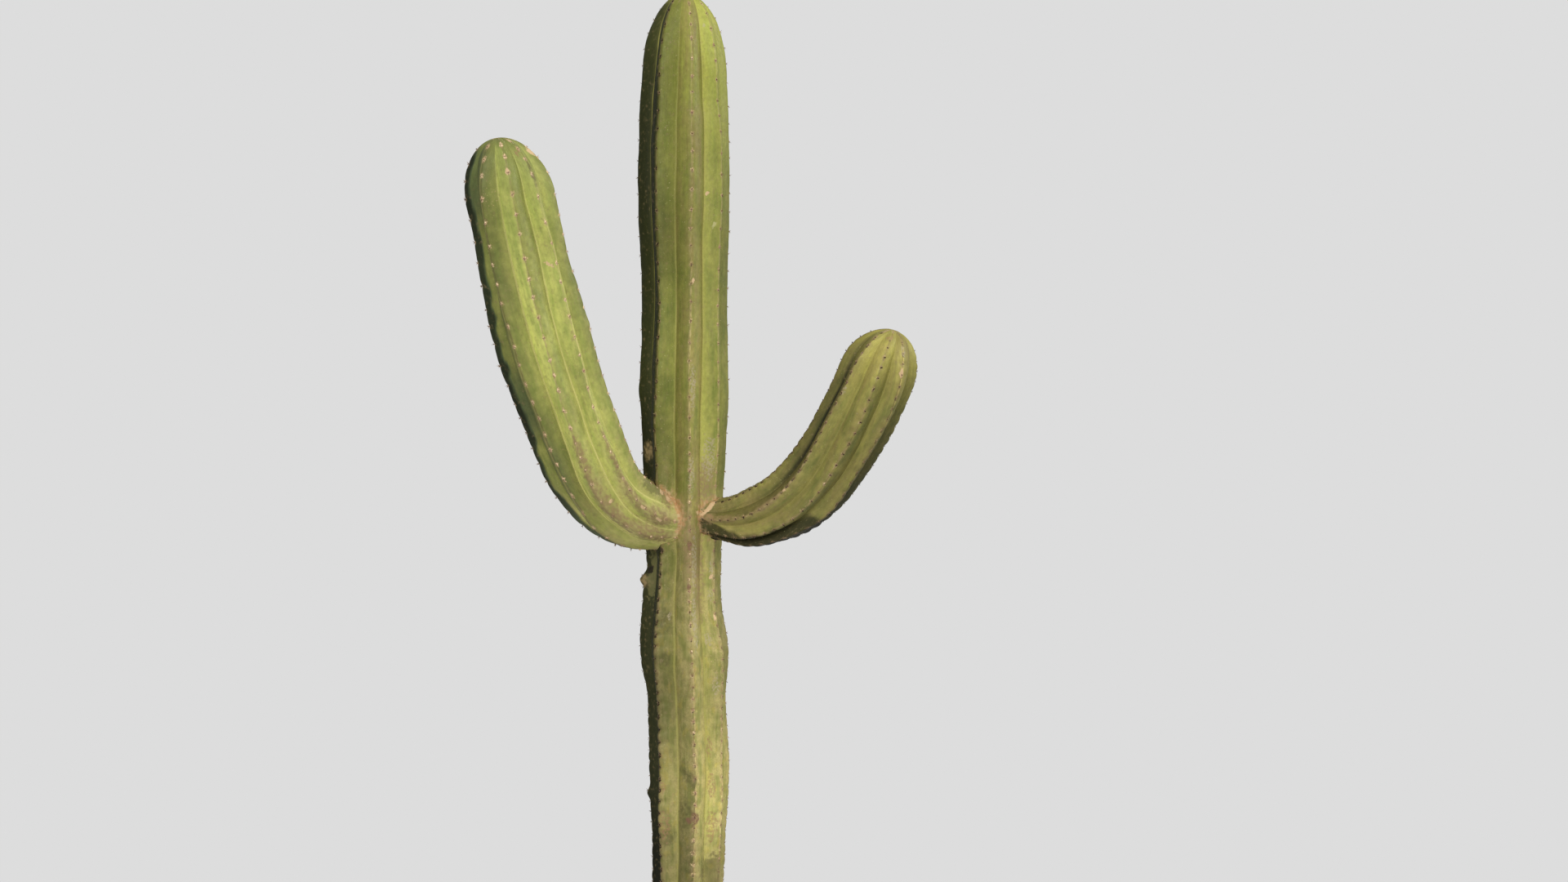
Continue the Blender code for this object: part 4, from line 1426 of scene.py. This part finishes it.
    # The olive-grey strip on the trunk's dark band is painted light; the large dark patch low on the trunk and the
    # dark marks in hollows are painted shade
    for kind, shade, strength, pattern in (
        ("olive_grey", OLIVE_GREY, 0.70, 1.0),
        ("lower_shade", DARK_SPECKS_AND_SHADE, 0.50, 1.0),
        ("scuff", SCUFF, 0.60, broken),
        ("rosy", ROSY, 0.55, broken),
        ("scar", SCAR, 0.85, patches),
        ("pale", PALE, 0.80, 1.0),
        ("cream", CREAM, 0.90, 1.0),
        ("hollow_shade", HOLLOW_SHADE, 0.95, 1.0),
        ("specks", CREAM, 0.45, dotted),
    ):
        mask = nodes.smooth(nodes.plus(nodes.fact(kind), nodes.times(edge, 0.6)), 0.22, 0.50)
        color = nodes.mix(nodes.times(nodes.times(mask, strength), pattern), color, shade)
    cork_grain = nodes.smooth(nodes.noise(place, 0.0018, 0.0060, 91.0, 4.0), 0.35, 0.65)
    cork_shade = nodes.mix(cork_grain, CORK, CORK_PALE)
    cracks = nodes.cells(place, 0.010, 0.028, 0.0, "DISTANCE_TO_EDGE").outputs["Distance"]
    crack = nodes.smooth(cracks, 0.10, 0.0)
    cork_shade = nodes.mix(nodes.times(crack, 0.8), cork_shade, CORK_DARK)
    cork = nodes.smooth(nodes.plus(nodes.fact("cork"), edge), 0.25, 0.65)
    color = nodes.mix(cork, color, cork_shade)
    callus_fact = nodes.plus(nodes.fact("callus"), nodes.times(edge, 0.7))
    callus = nodes.smooth(callus_fact, 0.15, 0.80)
    threads = nodes.smooth(nodes.noise(place, 0.0040, 0.012, 101.0, 3.0), 0.30, 0.70)
    callus_shade = nodes.mix(threads, CALLUS, CALLUS_PALE)
    embers = nodes.smooth(nodes.noise(place, 0.0030, 0.016, 113.0, 3.0), 0.46, 0.62)
    callus_shade = nodes.mix(nodes.times(embers, 0.7), callus_shade, CALLUS_ORANGE)
    color = nodes.mix(nodes.times(callus, 0.85), color, callus_shade)
    nodes.plug(nodes.shader.inputs["Base Color"], color)

    # Old and corky skin is rougher than fresh wax
    rough = nodes.smooth(nodes.plus(nodes.times(age, 0.5), mottle), 0.0, 1.5, 0.44, 0.62)
    rough = nodes.plus(rough, nodes.times(nodes.math("MAXIMUM", cork, callus), 0.25))
    nodes.plug(nodes.shader.inputs["Roughness"], rough)
    nodes.shader.inputs["Specular IOR Level"].default_value = 0.20

    # Pores, streaks and cracks as fine relief
    pores = nodes.noise(place, 0.0016, 0.0020, 7.0, 3.0)
    height = nodes.plus(nodes.times(pores, 0.5), nodes.times(streak, 0.35))
    height = nodes.math("SUBTRACT", height, nodes.times(nodes.times(cork, crack), 1.5))
    height = nodes.plus(height, nodes.times(nodes.times(callus, threads), 0.4))
    bump = nodes.add("Bump")
    bump.inputs["Strength"].default_value = 0.55
    bump.inputs["Distance"].default_value = 0.0009
    nodes.plug(bump.inputs["Height"], height)
    nodes.plug(nodes.shader.inputs["Normal"], bump.outputs["Normal"])
    return nodes.material


def plain_material(name, color, roughness):
    nodes = Nodes(name)
    nodes.shader.inputs["Base Color"].default_value = color
    nodes.shader.inputs["Roughness"].default_value = roughness
    nodes.shader.inputs["Specular IOR Level"].default_value = 0.3
    return nodes.material


def add_piece(name, mesh, replaced=()):
    """A piece that rides on the plant's one body."""
    piece = bpy.data.objects.new(name, mesh)
    bpy.context.scene.collection.objects.link(piece)
    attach(piece, BODY)
    if replaced:
        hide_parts(*replaced)
    return piece


def make_skin(stem, stems, replaced):
    mesh = skin_mesh(stem, stems)
    name = stem.name + "_skin"
    mesh.materials.append(skin_material(name, SKIN_LOOKS[stem.name]))
    add_piece(name, mesh, replaced)


# Areoles

AREOLE_TIP_MARGIN = 0.012
AREOLE_HIDDEN_GAP = 0.004
FRAME_STEP_TURN = 0.06
FRAME_STEP_ALONG = 0.006


def areole_places(stem, stems):
    """(rib, along) of every areole that isn't hidden where stems join."""
    ribs, places = [], []
    start = stem.start + 0.004
    for rib in range(stem.ribs):
        grid = np.linspace(start, stem.length - AREOLE_TIP_MARGIN, GRID_STEPS)
        turns = stem.areole_turn(np.full(GRID_STEPS, rib), grid)
        counts = np.arange(math.ceil(turns[0]), math.floor(turns[-1]) + 1)
        found = np.interp(counts, turns, grid)
        ribs.append(np.full(len(found), float(rib)))
        places.append(found)
    ribs, places = np.concatenate(ribs), np.concatenate(places)
    points = stem.point(ribs, places, stem.plain_radius(ribs, places))
    clear = joint_gap(stem, stems, points) > AREOLE_HIDDEN_GAP
    return ribs[clear], places[clear]


def areole_frames(stem, stems):
    """Where each areole sits, with its upward, sideways and outward directions."""
    rib, along = areole_places(stem, stems)
    here = skin_points(stem, stems, rib, along)
    below = np.maximum(along - FRAME_STEP_ALONG, stem.start)
    above = np.minimum(along + FRAME_STEP_ALONG, stem.length - 0.001)
    up = unit(skin_points(stem, stems, rib, above) - skin_points(stem, stems, rib, below))
    left = skin_points(stem, stems, rib - FRAME_STEP_TURN, along)
    right = skin_points(stem, stems, rib + FRAME_STEP_TURN, along)
    out = unit(np.cross(right - left, up))
    side = np.cross(up, out)
    return {"rib": rib, "along": along, "here": here, "up": up, "side": side, "out": out}


def unit(vectors):
    return vectors / np.linalg.norm(vectors, axis=-1, keepdims=True)


def repeated_mesh(name, points, faces, tints, materials):
    """One mesh from many small shapes that share their faces; points is (shapes, corners, 3)."""
    shapes, corners = points.shape[:2]
    starts = np.arange(shapes) * corners
    joined = []
    for face in faces:
        joined.append(starts[:, None] + np.array(face))
    every = [row for kind in joined for row in kind.tolist()]
    mesh = bpy.data.meshes.new(name)
    mesh.from_pydata(points.reshape(-1, 3), [], every)
    mesh.polygons.foreach_set("material_index", np.tile(tints, len(faces)))
    for material in materials:
        mesh.materials.append(material)
    mesh.shade_smooth()
    mesh.validate()
    return mesh


def blade_faces(sides):
    """Faces of a closed spike: a base ring, a middle ring and a tip."""
    faces = [tuple(reversed(range(sides)))]
    for i in range(sides):
        j = (i + 1) % sides
        faces.append((i, j, sides + j, sides + i))
        faces.append((sides + i, sides + j, 2 * sides))
    return faces


def spikes(base, direction, length, radius, bend, sides):
    """Slightly curved spikes; base, direction and bend are (spikes, 3)."""
    helper = np.where(np.abs(direction[:, 2:3]) > 0.8, (1.0, 0.0, 0.0), (0.0, 0.0, 1.0))
    first = unit(np.cross(direction, helper))
    second = np.cross(direction, first)
    angles = math.tau * np.arange(sides) / sides
    ring = first[:, None] * np.cos(angles)[None, :, None]
    ring = ring + second[:, None] * np.sin(angles)[None, :, None]
    length, radius = length[:, None, None], radius[:, None, None]
    foot = base[:, None] - 0.0012 * direction[:, None] + ring * radius
    middle = base[:, None] + direction[:, None] * length * 0.5 + ring * radius * 0.62
    tip = base[:, None] + (direction + bend)[:, None] * length
    return np.concatenate([foot, middle, tip], axis=1)


# Spines of one areole as (tilt from straight out, turn round it, share of its kind's length, kind)
LONG = "long"
SHORT = "short"
HOOK = "hook"
SPINE_PLAN = (
    (22.0, 90.0, 1.0, LONG),
    (42.0, -55.0, 0.9, LONG),
    (42.0, -125.0, 0.9, LONG),
    (68.0, 30.0, 1.0, SHORT),
    (68.0, 150.0, 1.0, SHORT),
    (72.0, -90.0, 1.0, SHORT),
    (70.0, -15.0, 0.9, SHORT),
    (70.0, 195.0, 0.9, SHORT),
    (52.0, 28.0, 1.0, HOOK),
    (40.0, 5.0, 0.8, HOOK),
)
SPINE_SIZES = {
    ("trunk", LONG): (0.0036, 0.00032),
    ("trunk", SHORT): (0.0034, 0.00032),
    ("trunk", HOOK): (0.0075, 0.00110),
    ("left_arm", LONG): (0.0042, 0.00040),
    ("left_arm", SHORT): (0.0040, 0.00038),
    ("left_arm", HOOK): (0.0060, 0.00060),
    ("right_arm", LONG): (0.0024, 0.00034),
    ("right_arm", SHORT): (0.0028, 0.00032),
    ("right_arm", HOOK): (0.0036, 0.00080),
}
SPINE_CHANCES = {LONG: 0.45, SHORT: 0.75, HOOK: 0.90}
HOOKED_RIBS = {"trunk": (5,), "left_arm": (8,), "right_arm": (4, 5, 6)}
SPINE_SIDES = 4


def areole_spines(frames, stem, dice):
    """Spikes for every spine of a stem, and which of the spine colours each has."""
    parts, tints = [], []
    count = len(frames["along"])
    hooked = np.isin(frames["rib"], HOOKED_RIBS[stem.name])
    for tilt, turn, share, kind in SPINE_PLAN:
        length, thickness = SPINE_SIZES[(stem.name, kind)]
        tilt = np.radians(tilt + dice.normal(0.0, 9.0, count))
        turn = np.radians(turn + dice.normal(0.0, 16.0, count))
        lean = np.cos(turn)[:, None] * frames["side"] + np.sin(turn)[:, None] * frames["up"]
        direction = np.cos(tilt)[:, None] * frames["out"] + np.sin(tilt)[:, None] * lean
        length = share * length * dice.uniform(0.65, 1.25, count) * tip_fade(stem, frames["along"])
        base = frames["here"] + 0.0010 * frames["out"] + 0.0008 * lean
        bend = 0.10 * dice.normal(0.0, 1.0, (count, 3))
        kept = dice.random(count) < SPINE_CHANCES[kind]
        if kind == HOOK:
            kept = kept & hooked
        radius = np.full(count, thickness)
        shape = spikes(base, direction, length, radius, bend, SPINE_SIDES)
        parts.append(shape[kept])
        tint = spine_tints(stem, kind, dice, count)
        tints.append(tint[kept])
    return np.concatenate(parts), np.concatenate(tints)


# Shares of the dark, brown, tan and pink spine colours on each stem, for each kind of spine
SPINE_COLORS = {
    "dark_spine": paint(52, 38, 28),
    "brown_spine": paint(104, 76, 54),
    "tan_spine": paint(176, 146, 112),
    "pink_spine": paint(188, 154, 122),
}
SPINE_SHARES = {
    ("trunk", LONG): (0.25, 0.35, 0.20, 0.20),
    ("trunk", SHORT): (0.05, 0.25, 0.30, 0.40),
    ("trunk", HOOK): (0.85, 0.15, 0.00, 0.00),
    ("left_arm", LONG): (0.00, 0.15, 0.45, 0.40),
    ("left_arm", SHORT): (0.00, 0.10, 0.45, 0.45),
    ("left_arm", HOOK): (0.10, 0.30, 0.60, 0.00),
    ("right_arm", LONG): (0.50, 0.40, 0.10, 0.00),
    ("right_arm", SHORT): (0.20, 0.35, 0.30, 0.15),
    ("right_arm", HOOK): (0.85, 0.15, 0.00, 0.00),
}


def spine_tints(stem, kind, dice, count):
    shares = SPINE_SHARES[(stem.name, kind)]
    return dice.choice(len(shares), size=count, p=shares)


WOOL_RADII = (0.0016, 0.0022, 0.0008)
WOOL_SIDES = 6
WOOL_COLORS = {
    "cream_wool": paint(250, 222, 178),
    "pink_wool": paint(176, 142, 112),
    "tan_wool": paint(148, 126, 84),
}
WOOL_SHARES = {
    "trunk": (0.12, 0.43, 0.45),
    "left_arm": (0.85, 0.15, 0.00),
    "right_arm": (0.08, 0.30, 0.62),
}


def pad_faces():
    """Faces of a closed cushion: three rings, a flat base and a top."""
    faces = [tuple(reversed(range(WOOL_SIDES)))]
    for ring in (0, WOOL_SIDES):
        for i in range(WOOL_SIDES):
            j = (i + 1) % WOOL_SIDES
            faces.append((ring + i, ring + j, ring + WOOL_SIDES + j, ring + WOOL_SIDES + i))
    for i in range(WOOL_SIDES):
        j = (i + 1) % WOOL_SIDES
        faces.append((2 * WOOL_SIDES + i, 2 * WOOL_SIDES + j, 3 * WOOL_SIDES))
    return faces


def tip_fade(stem, along):
    """Areoles are small on the youngest growth, at the very tip."""
    return 0.35 + 0.65 * ease((stem.length - along) / 0.06)


def wool_pads(frames, stem, dice):
    """A small uneven cushion of wool on every areole."""
    count = len(frames["along"])
    angles = math.tau * np.arange(WOOL_SIDES) / WOOL_SIDES
    pale = np.array(AREOLE_PALE[stem.name])[frames["rib"].astype(int)]
    size = dice.uniform(0.45, 1.25, count) * (0.25 + 0.95 * pale) * tip_fade(stem, frames["along"])
    size = size[:, None, None]
    across, tall, thick = WOOL_RADII
    rings = []
    for reach, rise in ((1.0, -0.9), (0.95, 0.35), (0.60, 0.85)):
        uneven = reach * (1.0 + 0.16 * dice.normal(0.0, 1.0, (count, WOOL_SIDES, 1)))
        flat = across * np.cos(angles)[None, :, None] * frames["side"][:, None]
        flat = flat + tall * np.sin(angles)[None, :, None] * frames["up"][:, None]
        lift = rise * thick * frames["out"][:, None]
        rings.append(frames["here"][:, None] + size * (flat * uneven + lift))
    top = frames["here"][:, None] + size * thick * frames["out"][:, None]
    return np.concatenate([*rings, top], axis=1)


def make_areoles(stems):
    """All wool as one piece and all spines as another, coloured areole by areole."""
    spine_parts, spine_colors, wool_parts, wool_colors = [], [], [], []
    for stem in stems:
        dice = np.random.default_rng(stem.facts["seed"] + 100)
        frames = areole_frames(stem, stems)
        shapes, tints = areole_spines(frames, stem, dice)
        spine_parts.append(shapes)
        spine_colors.append(tints)
        wool_parts.append(wool_pads(frames, stem, dice))
        shares = WOOL_SHARES[stem.name]
        wool_colors.append(dice.choice(len(shares), size=len(frames["along"]), p=shares))
    spine_paints = [plain_material(name, color, 0.5) for name, color in SPINE_COLORS.items()]
    wool_paints = [plain_material(name, color, 0.9) for name, color in WOOL_COLORS.items()]
    spines = repeated_mesh(
        "spines",
        np.concatenate(spine_parts),
        blade_faces(SPINE_SIDES),
        np.concatenate(spine_colors),
        spine_paints,
    )
    wool = repeated_mesh(
        "areole_wool",
        np.concatenate(wool_parts),
        pad_faces(),
        np.concatenate(wool_colors),
        wool_paints,
    )
    add_piece("spines", spines)
    add_piece("areole_wool", wool)


# Light, floor and camera

BACKDROP = 0.723
AMBIENT = 0.30
# (name, side it comes from in degrees right of the camera, height in degrees, strength, softness)
SUNS = (
    ("key_light", 38.0, 40.0, 0.88, 16.0),
    ("front_light", -8.0, 24.0, 1.50, 30.0),
    ("right_light", 100.0, 20.0, 1.07, 25.0),
    ("back_light", 176.0, 36.0, 1.30, 30.0),
)
FLOOR_RADIUS = 2.2
FLOOR_FADE_START = 0.9
FLOOR_COLOR = (0.62, 0.62, 0.62, 1.0)
CAMERA_PLACE = (0.1755, -4.0, 1.305)


def make_world():
    """A pale even backdrop that the camera sees, and a dimmer one that lights the plant."""
    world = bpy.data.worlds.new("studio")
    world.use_nodes = True
    tree = world.node_tree
    shown = tree.nodes["Background"]
    shown.inputs["Color"].default_value = (BACKDROP, BACKDROP, BACKDROP, 1.0)
    lighting = tree.nodes.new("ShaderNodeBackground")
    lighting.inputs["Color"].default_value = (AMBIENT, AMBIENT, AMBIENT, 1.0)
    rays = tree.nodes.new("ShaderNodeLightPath")
    mix = tree.nodes.new("ShaderNodeMixShader")
    tree.links.new(rays.outputs["Is Camera Ray"], mix.inputs[0])
    tree.links.new(lighting.outputs[0], mix.inputs[1])
    tree.links.new(shown.outputs[0], mix.inputs[2])
    tree.links.new(mix.outputs[0], tree.nodes["World Output"].inputs["Surface"])
    bpy.context.scene.world = world


def make_suns():
    for name, right_deg, height_deg, strength, softness_deg in SUNS:
        lamp = bpy.data.lights.new(name, "SUN")
        lamp.energy = strength
        lamp.angle = math.radians(softness_deg)
        piece = bpy.data.objects.new(name, lamp)
        bpy.context.scene.collection.objects.link(piece)
        piece.rotation_euler = (math.radians(90.0 - height_deg), 0.0, math.radians(right_deg))
        piece.visible_glossy = name != "back_light"


def make_floor():
    """A pale round floor that fades out towards its edge."""
    mesh = bpy.data.meshes.new("floor")
    angles = math.tau * np.arange(96) / 96
    rim = [(FLOOR_RADIUS * math.cos(a), FLOOR_RADIUS * math.sin(a), 0.0) for a in angles]
    mesh.from_pydata(rim, [], [tuple(range(96))])
    nodes = Nodes("floor")
    spot = nodes.add("TexCoord").outputs["Object"]
    length = nodes.add("VectorMath")
    length.operation = "LENGTH"
    nodes.plug(length.inputs[0], spot)
    shown = nodes.smooth(length.outputs["Value"], FLOOR_RADIUS, FLOOR_FADE_START)
    nodes.plug(nodes.shader.inputs["Alpha"], shown)
    nodes.shader.inputs["Base Color"].default_value = FLOOR_COLOR
    nodes.shader.inputs["Roughness"].default_value = 0.9
    mesh.materials.append(nodes.material)
    floor = bpy.data.objects.new("floor", mesh)
    bpy.context.scene.collection.objects.link(floor)


def make_camera():
    lens = bpy.data.cameras.new("camera")
    lens.lens = 50.0
    lens.sensor_width = 36.0
    camera = bpy.data.objects.new("camera", lens)
    camera.location = CAMERA_PLACE
    camera.rotation_euler = (math.radians(90.0), 0.0, 0.0)
    bpy.context.scene.collection.objects.link(camera)
    bpy.context.scene.camera = camera


def main():
    stems = (Stem(TRUNK), Arm(LEFT_ARM), Arm(RIGHT_ARM))
    replaced = (
        ("trunk",),
        ("left_arm_elbow", "left_arm_upright"),
        ("right_arm_elbow", "right_arm_upright"),
    )
    for stem, names in zip(stems, replaced):
        make_skin(stem, stems, names)
    make_areoles(stems)
    make_world()
    make_suns()
    make_floor()
    make_camera()
    bpy.context.scene.view_settings.view_transform = "Standard"
    bpy.context.view_layer.update()


main()
